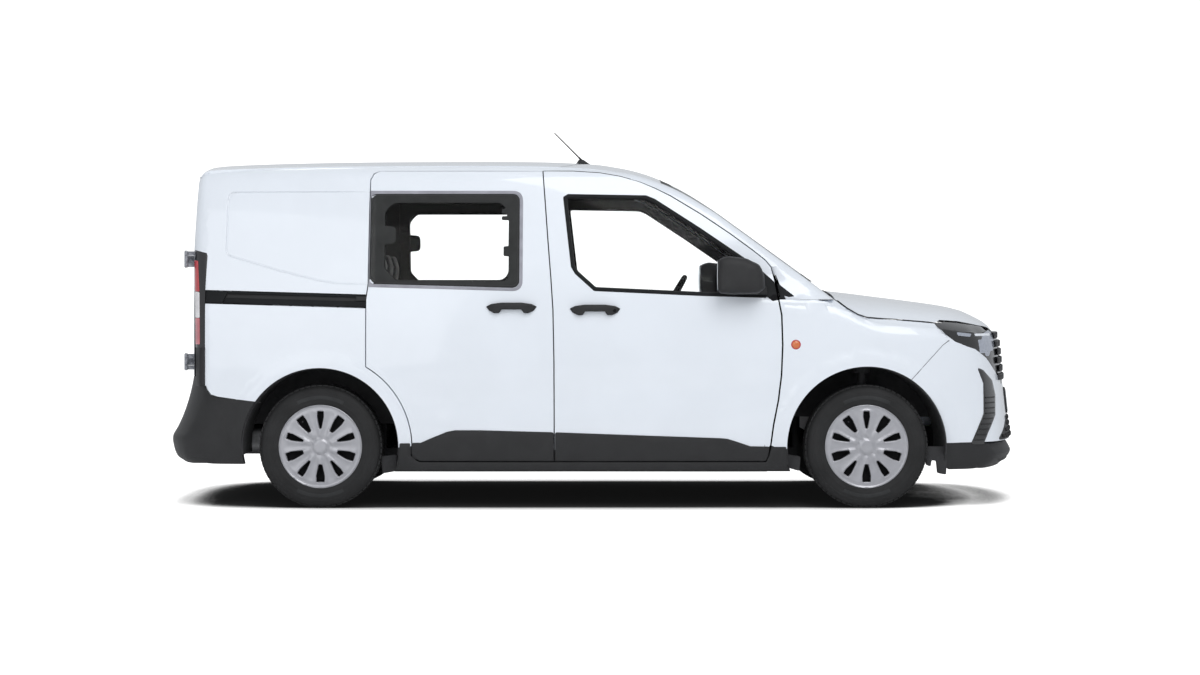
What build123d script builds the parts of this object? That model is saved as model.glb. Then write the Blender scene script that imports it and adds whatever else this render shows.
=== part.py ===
from build123d import *
import math
import os

# Compact passenger van, millimetres. X forward, Y left, Z up, ground at Z = 0.

# ---- driving dimensions -------------------------------------------------
WHEELBASE = 2692
FRONT_AXLE_X = 1338.5
REAR_AXLE_X = FRONT_AXLE_X - WHEELBASE
TRACK = 1552
TRAILING_ARM = 423.5
TYRE_RADIUS = 303
TYRE_WIDTH = 188
RIM_RADIUS = 195
RIM_WIDTH = 160
SUBFRAME_Z = TYRE_RADIUS - 107
SUBFRAME_ARM = 18.7
SUBFRAME_HEIGHT = 54
STRUT_TOP_Z = TYRE_RADIUS + 357
BODY_WIDTH = 1800
HALF = BODY_WIDTH / 2
CORNER_Y = HALF - 50
ROOF_HEIGHT = 1748
WALL = 70
DOOR_THICKNESS = 75
FLANGE = 22
PANEL = 10
ROOF_THICKNESS = 30
BONNET_THICKNESS = 20
GLASS = 5
SEAM = 6
HINGE_SEAM = 8
STEP = 20
TRIM_GAP = 0.5
SEAT_GAP = 0.3
SILL_Z = 180
FLOOR_Z = 235
FLOOR_THICKNESS = 40
LOAD_FLOOR_Z = 560
RISER_X = -1075
RISER_THICKNESS = 20
DOOR_BOTTOM = 229
FRONT_ARCH_RADIUS = 395
REAR_ARCH_RADIUS = 388
LINER = 6
STEERING_WHEEL_RADIUS = 185
STEERING_WHEEL_CENTRE = (405, 370, 1001)
STEERING_TILT = 30
ANTENNA_TIP = (-215, 0, 1910)
MIRROR_OUT = 1025

FRONT_HINGE_X = 861
FRONT_HINGE_Y = HALF - 12
BONNET_HINGE_X = 1190
BONNET_HINGE_Z = 1080
KINGPIN_Y = 645
REAR_HINGE_X = -2034
REAR_HINGE_Y = HALF - 148
HINGE_HEIGHTS = (700, 1210)
HINGE_RADIUS = 9
HINGE_BRACKET_HEIGHT = 21
HINGE_LENGTH = 36
ROOF_BAR_X = -900
ROOF_BAR_LENGTH = 1200
ROOF_BAR_WIDTH = 1180
ROOF_BAR_HOLE = 4.5

LEFT = 1
RIGHT = -1

# Side section: height, and how far the skin lies inboard of the full half width.
SIDE_SECTION = [
    (120, 60), (200, 28), (330, 8), (500, 1), (700, 0), (850, 4), (1000, 16), (1100, 32),
    (1200, 52), (1400, 94), (1550, 132), (1640, 167), (1700, 210), (1740, 260), (1800, 360),
]
# Centreline of roof and windscreen: place along the van, depth under the roof height.
ROOF_LINE = [
    (-2250, 62), (-2030, 38), (-1872, 20), (-1456, 6), (-1000, 0), (-300, 0), (0, 13), (104, 28),
    (208, 50), (315, 86), (447, 148), (600, 246), (750, 353), (900, 461), (1050, 570),
    (1200, 680), (1400, 826),
]
BONNET_LINE = [
    (950, 1092), (1200, 1074), (1318, 1062), (1444, 1046), (1612, 1025), (1780, 1002),
    (1864, 986), (1948, 962), (2013, 935), (2060, 905), (2100, 860), (2150, 780),
]
NOSE_LINE = [
    (100, 2086), (186, 2112), (215, 2148), (249, 2171.7), (320, 2168.5), (437, 2151), (573, 2136),
    (650, 2126), (720, 2118), (818, 2106), (860, 2088), (911, 2050), (980, 1960), (1250, 1900),
]
TAIL_LINE = [
    (80, -2046), (1250, -2044), (1400, -2036), (1600, -2022), (1760, -2004),
]
BUMPER_LINE = [
    (180, -2080), (215, -2112), (240, -2148), (290, -2168), (340, -2172), (380, -2150),
    (440, -2122), (520, -2094), (600, -2074), (660, -2064),
]


def smooth(table, t):
    """A smooth curve through a table of (place, value)."""
    last = len(table) - 2
    i = max([k for k in range(last + 1) if table[k][0] <= t], default=0)

    def slope(k):
        a, b = max(k - 1, 0), min(k + 1, last + 1)
        return (table[b][1] - table[a][1]) / (table[b][0] - table[a][0])

    (x0, y0), (x1, y1) = table[i], table[i + 1]
    h = x1 - x0
    u = min(max((t - x0) / h, 0), 1)
    start = (2 * u**3 - 3 * u * u + 1) * y0 + (u**3 - 2 * u * u + u) * h * slope(i)
    return start + (3 * u * u - 2 * u**3) * y1 + (u**3 - u * u) * h * slope(i + 1)


def spread(a, b, n):
    return [a + (b - a) * i / (n - 1) for i in range(n)]


def side_y(x, z):
    nose = max((x - 900) / 1250, 0)
    tail = max((-1100 - x) / 950, 0)
    cab = max((x - 300) / 700, 0) ** 2 * min(max((z - 1000) / 150, 0), 1)
    return HALF - smooth(SIDE_SECTION, z) - 230 * nose**3 - 62 * tail**2.2 - 40 * cab


def roof_z(x, y):
    flat = min(max(x / 600, 0), 1)
    crown = y * y / 8400 * (1 - 0.7 * flat)
    return ROOF_HEIGHT - smooth(ROOF_LINE, x + y * y / 16000) - crown


def bonnet_z(x, y):
    along = min(max((x - 1130) / 320, 0), 1)
    share = 0.33 + 0.67 * along * along * (3 - 2 * along)
    drop = 28 * (y / 600) ** 2 + 45 * (y / CORNER_Y) ** 8
    return smooth(BONNET_LINE, x + y * y / 3400) - share * drop


def nose_x(y, z):
    return smooth(NOSE_LINE, z) - y * y / 3400 - 120 * (y / CORNER_Y) ** 8


def tail_x(y, z):
    return smooth(TAIL_LINE, z) + y * y / 14000 + 45 * (y / CORNER_Y) ** 10


def bumper_x(y, z):
    return smooth(BUMPER_LINE, z) + y * y / 9000 + 110 * (y / CORNER_Y) ** 8


def surface(point, first, second, tolerance=2.0):
    rows = [[point(a, b) for b in second] for a in first]
    return Face.make_surface_from_array_of_points(rows, tol=tolerance)


SIDE_FACE = surface(
    lambda x, z: (x, side_y(x, z), z), spread(-2250, 2250, 24), spread(120, 1800, 26)
)
ROOF_FACE = surface(
    lambda x, y: (x, y, roof_z(x, y)), spread(-2250, 1400, 34), spread(-950, 950, 13)
)
BONNET_FACE = surface(
    lambda x, y: (x, y, bonnet_z(x, y)), spread(950, 2150, 20), spread(-930, 930, 19)
)
NOSE_FACE = surface(
    lambda y, z: (nose_x(y, z), y, z), spread(-935, 935, 21), spread(105, 1250, 25)
)
TAIL_FACE = surface(
    lambda y, z: (tail_x(y, z), y, z), spread(-945, 945, 19), spread(90, 1840, 15)
)
BUMPER_FACE = surface(
    lambda y, z: (bumper_x(y, z), y, z), spread(-930, 930, 19), spread(180, 660, 16)
)


def side_slab(depth, thickness):
    """A layer of the left side, from depth under the skin inwards."""
    return Pos(0, -depth, 0) * extrude(SIDE_FACE, amount=thickness, dir=(0, -1, 0))


def within_sides(depth=0):
    half = side_slab(depth, 1000)
    return half + mirror(half, about=Plane.XZ)


def layer(face, direction, depth, thickness):
    """A layer under a skin, measured along a direction that points into the van."""
    d = Vector(direction)
    return Pos(*(d * depth)) * extrude(face, amount=thickness, dir=direction)


DOWN = (0, 0, -1)
BACK = (-1, 0, 0)
AHEAD = (1, 0, 0)


def side_view(points, low=0, high=1100, rounding=0):
    """A prism with an outline in X and Z, running from one Y to another."""
    face = make_face(Polyline(*[(x, 0, z) for x, z in points], close=True))
    if rounding:
        face = fillet(face.vertices(), rounding)
    return Pos(0, low, 0) * extrude(face, amount=high - low, dir=(0, 1, 0))


def front_view(points, low, high, rounding=0):
    """A prism with an outline in Y and Z, running from one X to another."""
    face = make_face(Polyline(*[(0, y, z) for y, z in points], close=True))
    if rounding:
        face = fillet(face.vertices(), rounding)
    return Pos(low, 0, 0) * extrude(face, amount=high - low, dir=(1, 0, 0))


def block(x0, x1, y0, y1, z0, z1):
    size = (x1 - x0, y1 - y0, z1 - z0)
    return Pos((x0 + x1) / 2, (y0 + y1) / 2, (z0 + z1) / 2) * Box(*size)


def rod(start, end, radius):
    a, b = Vector(start), Vector(end)
    return Solid.make_cylinder(radius, (b - a).length, Plane(origin=a, z_dir=b - a))


def arch(x, radius, low, high):
    return rod((x, low, TYRE_RADIUS), (x, high, TYRE_RADIUS), radius)


def grown(prism_points, amount):
    """An outline moved outwards by an amount, or inwards if it is negative."""
    face = make_face(Polyline(*[(x, 0, z) for x, z in prism_points], close=True))
    return offset(face, amount=amount, kind=Kind.INTERSECTION)


def prism_of(face, low=0, high=1100):
    return Pos(0, low, 0) * extrude(face, amount=high - low, dir=(0, 1, 0))


def both_sides(shape):
    return [shape, mirror(shape, about=Plane.XZ)]


# ---- outlines, seen from the side, in X and Z ----------------------------
SIDE_DOOR_FRONT = [(-260, 1669), (-248, 1522), (-233, 1322), (-217, 1124), (-207, 976), (-202, 730)]
FRONT_DOOR = SIDE_DOOR_FRONT + [
    (-200, DOOR_BOTTOM), (838, DOOR_BOTTOM), (848, 240), (863, 310), (876, 410), (900, 533),
    (915, 656), (921, 803), (917, 951), (903, 1025), (893, 1074), (885, 1134), (871, 1188),
    (842, 1223), (779, 1273), (670, 1353), (522, 1453), (374, 1543), (299, 1581), (225, 1614),
    (125, 1642), (25, 1660), (-110, 1669),
]
SLIDING_DOOR = SIDE_DOOR_FRONT + [
    (-200, DOOR_BOTTOM), (-861, DOOR_BOTTOM), (-1000, 300), (-1127, 700), (-1128, 1025),
    (-1118, 1104), (-1117, 1623), (-1102, 1653), (-1073, 1669),
]
SLIDING_DOOR_ARCH = 453
FRONT_WINDOW = [
    (-159, 1537), (-134, 1552), (254, 1545), (298, 1527), (521, 1382), (732, 1238), (832, 1160),
    (850, 1036), (518, 1045), (-5, 1069), (-99, 1154), (-119, 1188),
]
SLIDING_WINDOW = [(-1105, 1104), (-1105, 1552), (-372, 1552), (-372, 1084)]
SLIDING_APERTURE = [(-1041, 1180), (-985, 1124), (-427, 1124), (-427, 1505), (-1041, 1505)]
QUARTER_STAMPING = [
    (-1788, 1563), (-1165, 1563), (-1165, 1103), (-1213, 1104), (-1287, 1107), (-1361, 1119),
    (-1460, 1144), (-1559, 1168), (-1711, 1213), (-1800, 1238), (-1830, 1273), (-1828, 1523),
]
TRACK_RECESS = [(-1926, 1074), (-1140, 1052), (-1140, 985), (-1926, 1008)]
TAIL_LAMP = [
    (-2080, 1285), (-2015, 1280), (-1925, 1258), (-1920, 1243), (-1926, 1075), (-1925, 790),
    (-2080, 790),
]
BONNET_SEAM = [
    (1187, 1025), (1240, 985), (1295, 951), (1341, 936), (1460, 928), (1609, 916), (1688, 909),
]
HEADLAMP = [
    (1684, 906), (1714, 919), (1810, 911), (2019, 881), (2075, 850), (2200, 760), (2200, 618),
    (2061, 618), (1958, 734), (1892, 781), (1782, 820), (1729, 862),
]
BUMPER_SEAM = [(1729, 862), (1754, 827), (1719, 803), (1556, 630)]
REAR_BUMPER_SEAM = [
    (-1925, 606), (-1914, 582), (-1894, 557), (-1859, 547), (-1750, 532), (-1640, 520),
]
LOWER_BUMPER_TOP = 319
TRACK_DEPTH = 4
TAIL_LAMP_Y = HALF - 154
REAR_DOOR_BOTTOM = 650
REAR_DOOR_EDGE = [(728, REAR_DOOR_BOTTOM), (728, 1280), (690, 1400), (640, 1560), (590, 1640)]
REAR_SPLIT_Y = -90
ROOF_HALF = 668
WINDSCREEN_TOP_X = 330
WINDSCREEN_BASE_X = 1130
BONNET_REAR_X = 1190
GRILLE_HALF = 560
GRILLE_BOTTOM = 600
GRILLE_TOP = 852

# Hulls that bound the pieces.
UNDER_ROOF = layer(ROOF_FACE, DOWN, 0, 1700)
UNDER_BONNET = layer(BONNET_FACE, DOWN, 0, 1200)
BEHIND_NOSE = layer(NOSE_FACE, BACK, 0, 2500)
AHEAD_OF_TAIL = layer(TAIL_FACE, AHEAD, 0, 3500)
AHEAD_OF_BUMPER = layer(BUMPER_FACE, AHEAD, 0, 1200)
INSIDE = side_slab(WALL + 0.3, 1000)
INSIDE_BOTH = INSIDE + mirror(INSIDE, about=Plane.XZ)
BEHIND_DOORS = side_slab(DOOR_THICKNESS + 6, 1000)
INSIDE_DOORS = BEHIND_DOORS + mirror(BEHIND_DOORS, about=Plane.XZ)
SILL_TOP = DOOR_BOTTOM + STEP
SIDES = within_sides()


def door_shell(outline, cut=None):
    """A stepped door: a thin flange with the whole outline and a smaller box behind it."""
    outer = grown(outline, -SEAM / 2)
    inner = grown(outline, -SEAM / 2 - STEP - SEAM)
    if cut:
        outer = outer - circle_at(REAR_AXLE_X, cut + SEAM / 2)
        inner = inner - circle_at(REAR_AXLE_X, cut + SEAM * 1.5 + STEP)
    flange = side_slab(0, FLANGE) & prism_of(outer)
    box = side_slab(0, DOOR_THICKNESS) & prism_of(inner)
    return flange + box


def circle_at(x, radius):
    plane = Plane(origin=(x, 0, TYRE_RADIUS), z_dir=(0, -1, 0))
    return plane * Circle(radius)


def door_opening(outline, cut=None):
    """What a stepped door needs cut from the body side."""
    outer = grown(outline, SEAM / 2)
    inner = grown(outline, -STEP)
    if cut:
        outer = outer - circle_at(REAR_AXLE_X, cut - SEAM / 2)
        inner = inner - circle_at(REAR_AXLE_X, cut + STEP)
    shallow = side_slab(-40, 40 + FLANGE + SEAM) & prism_of(outer)
    return shallow + prism_of(inner, 400)


# ---- body shell -----------------------------------------------------------
def body_side():
    outline = [(-2100, 1800), (1250, 1800), (1250, 1028), (1010, 1028), (1010, SILL_Z)]
    outline += [(REAR_AXLE_X, SILL_Z), (REAR_AXLE_X, 520)] + REAR_BUMPER_SEAM[::-1]
    outline += [(-1925, 790), (-2100, 790)]
    shell = side_slab(0, WALL) & side_view(outline) & UNDER_ROOF & AHEAD_OF_TAIL
    shell -= door_opening(FRONT_DOOR)
    shell -= door_opening(SLIDING_DOOR, SLIDING_DOOR_ARCH)
    hinge_pocket = side_view([(800, 224), (940, 224), (940, 1027), (893, 1150), (800, 1150)], 400)
    shell -= hinge_pocket
    behind_wing = side_slab(-40, 40 + PANEL + 2) & side_view(
        [(846, 100), (1300, 100), (1300, 1027), (890, 1027), (890, 224), (846, 224)]
    )
    shell -= behind_wing
    shell -= arch(REAR_AXLE_X, REAR_ARCH_RADIUS, 400, 1000)
    shell -= arch(FRONT_AXLE_X, FRONT_ARCH_RADIUS, 400, 1000)
    shell -= rear_opening()
    shell -= roof_cut()
    shell -= windscreen_cut()
    shell -= side_view(TAIL_LAMP, TAIL_LAMP_Y - TRIM_GAP)
    shell -= side_slab(-20, 25) & side_view(QUARTER_STAMPING)
    recess = [(-1926, 1075), (-1110, 1052), (-1110, 983), (-1926, 1007)]
    side = shell + rear_frame()
    return largest(side - (side_slab(-20, 34 + SEAT_GAP) & side_view(recess)))


def largest(shape):
    return max(shape.solids(), key=lambda s: s.volume)


def rear_edge(amount):
    """The rear opening's outer edge, moved outwards by an amount."""
    return [(y + amount, z) for y, z in REAR_DOOR_EDGE]


def rear_opening():
    edge = rear_edge(SEAM)
    deep = rear_edge(-STEP)
    top = REAR_DOOR_EDGE[-1][1]
    outer = [(0, 560)] + [(edge[0][0], 560)] + edge[1:] + [(edge[-1][0], top + SEAM), (0, top + SEAM)]
    inner = [(0, 560)] + [(deep[0][0], 560)] + deep[1:] + [(deep[-1][0], top - STEP), (0, top - STEP)]
    shallow = layer(TAIL_FACE, AHEAD, -100, 100 + FLANGE + SEAM) & front_view(outer, -2200, -1900)
    return shallow + front_view(inner, -2200, -1900)


def rear_frame():
    """The pillar that frames the rear doors on one side."""
    post = block(-2100, -1915, 600, 1000, 645, 1800) & AHEAD_OF_TAIL & UNDER_ROOF
    post &= side_slab(0.0, 300)
    post -= rear_opening()
    post -= roof_cut()
    corner = [(-2100, 790), (-1925 + TRIM_GAP, 790), (-1925 + TRIM_GAP, 600), (-2100, 600)]
    post -= side_view(corner, TAIL_LAMP_Y - TRIM_GAP)
    return post - side_view(TAIL_LAMP, TAIL_LAMP_Y - TRIM_GAP)


def roof_cut():
    zone = block(-2150, WINDSCREEN_TOP_X + 1, -ROOF_HALF - TRIM_GAP, ROOF_HALF + TRIM_GAP, 1300, 1900)
    return layer(ROOF_FACE, DOWN, -20, 20 + ROOF_THICKNESS + 0.3) & zone


def windscreen_outline(gap=0):
    top, base = WINDSCREEN_TOP_X + 2 - gap, WINDSCREEN_BASE_X + gap
    half = [(top, 660 + gap), (600, 712 + gap), (900, 758 + gap), (base - 68, 775 + gap)]
    half += [(base - 25, 450), (base, 0)]
    other = [(x, -y) for x, y in half[-2::-1]]
    face = make_face(Polyline(*[(x, y, 0) for x, y in half + other], close=True))
    return extrude(face, amount=2000, dir=(0, 0, 1))


def windscreen_cut():
    return layer(ROOF_FACE, DOWN, -20, 20 + 1 + GLASS + SEAT_GAP) & windscreen_outline(TRIM_GAP)


def windscreen():
    return layer(ROOF_FACE, DOWN, 1, GLASS) & windscreen_outline()


def roof():
    zone = block(-2150, WINDSCREEN_TOP_X, -ROOF_HALF, ROOF_HALF, 1300, 1900)
    panel = layer(ROOF_FACE, DOWN, 0, ROOF_THICKNESS) & zone & AHEAD_OF_TAIL
    header = block(-2100, -1955, -599.5, 599.5, 1600, 1800) & AHEAD_OF_TAIL
    header &= layer(ROOF_FACE, DOWN, 5, 200)
    opening = rear_opening()
    header -= opening + mirror(opening, about=Plane.XZ)
    holes = [
        rod((ROOF_BAR_X + i * ROOF_BAR_LENGTH / 2, j * ROOF_BAR_WIDTH / 2, 1600),
            (ROOF_BAR_X + i * ROOF_BAR_LENGTH / 2, j * ROOF_BAR_WIDTH / 2, 1800), ROOF_BAR_HOLE)
        for i in (-1, 1) for j in (-1, 1)
    ]
    return largest((panel + header).cut(*holes))


def front_wing():
    door_edge = [(x + HINGE_SEAM - SEAM / 2, z) for x, z in FRONT_DOOR if x > 840 and z < 1027]
    outline = [(door_edge[-1][0], 1027)] + door_edge[::-1] + [(850, 215)]
    outline += [(FRONT_AXLE_X, 215), (FRONT_AXLE_X, 600)] + BUMPER_SEAM[::-1]
    outline += BONNET_SEAM[::-1] + [(1187, 1027)]
    skin = side_slab(0, PANEL)
    crown = layer(BONNET_FACE, DOWN, 0, PANEL + 2) & side_slab(0, 300)
    crown &= block(1013, 2300, 0, 1000, 0, 1300)
    shoulder = (skin + crown) & side_view(outline, 500) & UNDER_BONNET
    foot_zone = side_view([(850, 215), (1100, 215), (1100, 1027), (850, 1027)], 500)
    foot = skin & side_view(outline, 500) & foot_zone
    wing = shoulder + foot
    wing -= arch(FRONT_AXLE_X, FRONT_ARCH_RADIUS, 400, 1000)
    wing -= side_view(HEADLAMP, 400)
    return largest(wing)


def bonnet():
    lift = [(x, z + SEAM) for x, z in BONNET_SEAM]
    lamp_top = [(1714, 926), (1810, 919), (2019, 889), (2079, 858)]
    outline = [(BONNET_REAR_X, 1200)] + [(BONNET_REAR_X, 1029)] + lift[1:] + lamp_top
    outline += [(2090, 882), (2200, 880), (2200, 1200)]
    panel = layer(BONNET_FACE, DOWN, 0, BONNET_THICKNESS) & side_view(outline, -1100)
    return largest(panel & SIDES & BEHIND_NOSE)


def cowl_panel():
    zone = block(1010, BONNET_REAR_X - SEAM, -770, 770, 985, 1200)
    box = zone & layer(ROOF_FACE, DOWN, GLASS + 4, 900) & layer(BONNET_FACE, DOWN, 14, 500)
    end = BONNET_REAR_X - SEAT_GAP
    bosses = block(1150, end, 500, 540, 990, 1056) + block(1150, end, -540, -500, 990, 1056)
    box = box + (bosses & layer(BONNET_FACE, DOWN, 3, 500))
    return largest(box & within_sides(PANEL + 15) - block(1000, 1030.3, -900, 900, 900, 1000.3))


def firewall():
    low = block(1010, 1030, -444, 444, FLOOR_Z, 985)
    high = block(1010, 1030, -900, 900, 556, 984.7)
    return (low + high) & block(1000, 1040, -900, 900, 0, 984.7) & INSIDE_BOTH


def floor_pan():
    """The cabin floor, the riser under the bench, the load floor and the panel under the doors."""
    lower = block(RISER_X, 1009.7, -900, 900, FLOOR_Z, SILL_TOP) & INSIDE_BOTH
    upper = block(RISER_X, 1009.7, -900, 900, SILL_TOP, FLOOR_Z + FLOOR_THICKNESS) & INSIDE_DOORS
    load = block(-1916, RISER_X + RISER_THICKNESS, -720, 720, LOAD_FLOOR_Z, LOAD_FLOOR_Z + FLOOR_THICKNESS)
    riser = block(RISER_X, RISER_X + RISER_THICKNESS, -555, 555, FLOOR_Z, LOAD_FLOOR_Z + FLOOR_THICKNESS)
    panel = block(-1930, -1915, -690, 690, 300, 640)
    sides = block(-1800, RISER_X + RISER_THICKNESS, -900, 900, LOAD_FLOOR_Z, LOAD_FLOOR_Z + FLOOR_THICKNESS)
    load = load + (sides & INSIDE_BOTH)
    slab = lower + upper + load + riser + panel
    wells = []
    for side in (LEFT, RIGHT):
        a, b = sorted((side * 555, side * 1000))
        wells.append(arch(REAR_AXLE_X, REAR_ARCH_RADIUS, a, b))
        a, b = sorted((side * 445, side * 1000))
        wells.append(arch(FRONT_AXLE_X, FRONT_ARCH_RADIUS, a, b))
    return largest(slab.cut(*wells))


def liner(x, radius, inner_y, outer_y, low_z, wall_z):
    ring = arch(x, radius - 0.3, inner_y, outer_y) - arch(x, radius - LINER, inner_y - 1, outer_y + 1)
    ring &= block(x - 500, x + 500, 0, 1000, low_z, 1000)
    wall = arch(x, radius - 0.3, inner_y, inner_y + LINER) & block(x - 500, x + 500, 0, 1000, wall_z, 1000)
    return ring + wall


def wheel_arch_liners():
    rear = liner(REAR_AXLE_X, REAR_ARCH_RADIUS, 556, 872, 262, 400)
    front = liner(FRONT_AXLE_X, FRONT_ARCH_RADIUS, 446, 864, 262, 430)
    low, high = STRUT_TOP_Z + SEAT_GAP, STRUT_TOP_Z + 32
    boss = rod((FRONT_AXLE_X, KINGPIN_Y, low), (FRONT_AXLE_X, KINGPIN_Y, high), 40)
    return both_sides(rear) + both_sides(front + boss)


# ---- front and rear ends ---------------------------------------------------
def front_half(outline, nose_wall, cheek_wall, high=1100):
    """The left half of a wall that follows the nose and carries on round the corner."""
    zone = side_view(outline, 0, high)
    nose = (layer(NOSE_FACE, BACK, 0, nose_wall) & zone) & side_slab(0, 1000)
    cheek = (side_slab(0, cheek_wall) & zone) & BEHIND_NOSE
    return nose + cheek


def whole(half):
    """Both halves of a piece that is built on the left of the centreline."""
    return largest(half + mirror(half, about=Plane.XZ))


def front_bumper():
    """The painted bumper, from the headlamps down to the dark lip."""
    outline = BUMPER_SEAM + [(1556, LOWER_BUMPER_TOP + TRIM_GAP), (2250, LOWER_BUMPER_TOP + TRIM_GAP)]
    outline += [(2250, 868), (2075, 850), (2019, 881), (1810, 911), (1720, 900)]
    half = front_half(outline, 45, 16) & UNDER_BONNET
    lamp = side_view(HEADLAMP, 400)
    arch_space = arch(FRONT_AXLE_X, FRONT_ARCH_RADIUS, 300, 1000)
    return whole(largest(half.cut(arch_space, lamp, grille_opening(TRIM_GAP))))


def grille_opening(gap=0):
    half = GRILLE_HALF + gap
    points = [
        (-half, GRILLE_TOP + 30), (-half, 700), (-half + 90, GRILLE_BOTTOM - gap),
        (half - 90, GRILLE_BOTTOM - gap), (half, 700), (half, GRILLE_TOP + 30),
    ]
    return front_view(points, 1700, 2300)


def grille():
    """The upper grille: a dark panel with open slots between its bars."""
    points = [
        (-GRILLE_HALF, GRILLE_TOP), (-GRILLE_HALF, 700), (-GRILLE_HALF + 90, GRILLE_BOTTOM),
        (GRILLE_HALF - 90, GRILLE_BOTTOM), (GRILLE_HALF, 700), (GRILLE_HALF, GRILLE_TOP),
    ]
    panel = layer(NOSE_FACE, BACK, 6, 30) & front_view(points, 1700, 2300)
    panel &= layer(BONNET_FACE, DOWN, BONNET_THICKNESS + SEAM, 1200)
    slots = [
        block(1700, 2300, -430, 430, z, z + 16) for z in range(GRILLE_BOTTOM + 30, 790, 34)
    ]
    return largest(panel.cut(*slots))


def front_spoiler():
    """The dark lower lip of the front bumper."""
    outline = [
        (1560, LOWER_BUMPER_TOP), (2250, LOWER_BUMPER_TOP), (2250, 186), (1752, 186), (1735, 200),
        (1720, 240), (1640, 280),
    ]
    half = front_half(outline, 120, 30)
    return whole(largest(half.cut(arch(FRONT_AXLE_X, FRONT_ARCH_RADIUS, 300, 1000))))


def headlamp():
    zone = side_view(HEADLAMP, GRILLE_HALF + TRIM_GAP)
    front = (layer(NOSE_FACE, BACK, 2, 100) & zone) & side_slab(1, 500)
    flank = (side_slab(1, 60) & zone) & BEHIND_NOSE
    lamp = (front + flank) & layer(BONNET_FACE, DOWN, 3, 1200)
    lamp -= side_view(BUMPER_SEAM[:2] + [(1600, 780), (1600, 862)], 400)
    return largest(lamp)


def rear_bumper():
    outline = REAR_BUMPER_SEAM + [(-1640, 215), (-2250, 215), (-2250, 639), (-1925, 639)]
    zone = side_view(outline, 0)
    wall = (layer(BUMPER_FACE, AHEAD, 0, 55) & zone) & side_slab(0, 1000)
    cheek = (side_slab(0, 60) & zone) & AHEAD_OF_BUMPER
    post = block(-2100, -1925, TAIL_LAMP_Y, HALF + 100, 600, 790 - SEAT_GAP)
    upright = (side_slab(0, 60) & post) & AHEAD_OF_TAIL
    half = wall + cheek + upright
    return whole(largest(half.cut(arch(REAR_AXLE_X, REAR_ARCH_RADIUS, 300, 1000))))


def tail_lamp():
    outline = [
        (x + (TRIM_GAP if x < -2000 else -TRIM_GAP), z - (TRIM_GAP if z > 1000 else 0))
        for x, z in TAIL_LAMP
    ]
    zone = side_view(outline, TAIL_LAMP_Y) & block(-2100, -1900, TAIL_LAMP_Y, HALF + 100, 790, 1284)
    return largest((side_slab(0, 60) & zone) & AHEAD_OF_TAIL)


def door_track():
    """The rail that the sliding door runs along, set in its recess."""
    rail = side_slab(TRACK_DEPTH, 10) & side_view(TRACK_RECESS)
    return rail & block(-1925, -1100, 0, 1000, 900, 1200)


def track_arm():
    """The arm that carries the sliding door on the rail."""
    outline = [(-1175, 1022), (-1112, 1022), (-1112, 1042), (-1175, 1042)]
    return side_slab(0, TRACK_DEPTH - SEAT_GAP) & side_view(outline)


# ---- doors -----------------------------------------------------------------
def window_hole(outline, rounding, inset):
    """The clear aperture through a door, and the shallow seat of its glass."""
    face = make_face(Polyline(*[(x, 0, z) for x, z in outline], close=True))
    face = fillet(face.vertices(), rounding)
    clear = offset(face, amount=-inset, kind=Kind.INTERSECTION) if inset else face
    return face, clear


def front_door():
    door = door_shell(FRONT_DOOR)
    seat, clear = window_hole(FRONT_WINDOW, 10, 16)
    glass_seat = side_slab(-20, 20 + 12 + GLASS + SEAT_GAP) & prism_of(seat)
    return largest(door.cut(glass_seat, prism_of(clear, 500)))


def front_door_glass():
    seat, clear = window_hole(FRONT_WINDOW, 10, 16)
    return side_slab(12, GLASS) & prism_of(offset(seat, amount=-TRIM_GAP))


def sliding_door():
    door = door_shell(SLIDING_DOOR, SLIDING_DOOR_ARCH)
    seat, _ = window_hole(SLIDING_WINDOW, 38, 0)
    clear, _ = window_hole(SLIDING_APERTURE, 50, 0)
    glass_seat = side_slab(-20, 20 + GLASS + SEAT_GAP) & prism_of(seat)
    return largest(door.cut(glass_seat, prism_of(clear, 500)) + track_arm())


def sliding_door_glass():
    seat, _ = window_hole(SLIDING_WINDOW, 38, 0)
    return side_slab(0, GLASS) & prism_of(offset(seat, amount=-TRIM_GAP))


def rear_door_outline(side, amount):
    """One rear door seen from behind, its edges moved inwards by an amount."""
    edge = [(y - amount, z) for y, z in REAR_DOOR_EDGE]
    edge[0] = (edge[0][0], REAR_DOOR_BOTTOM + amount)
    edge[-1] = (edge[-1][0], REAR_DOOR_EDGE[-1][1] - amount)
    if side == LEFT:
        inner = REAR_SPLIT_Y + SEAM / 2 + amount
        return [(inner, REAR_DOOR_BOTTOM + amount)] + edge + [(inner, edge[-1][1])]
    inner = REAR_SPLIT_Y - SEAM / 2 - amount
    return [(inner, REAR_DOOR_BOTTOM + amount)] + [(-y, z) for y, z in edge] + [(inner, edge[-1][1])]


def rear_window_outline(side, amount):
    inner = REAR_SPLIT_Y + side * (70 + amount)
    outer_low, outer_high = side * (640 - amount), side * (590 - amount)
    low, high = 1130 + amount, 1560 - amount
    return [(inner, low), (outer_low, low), (outer_low, 1250), (outer_high, high), (inner, high)]


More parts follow.
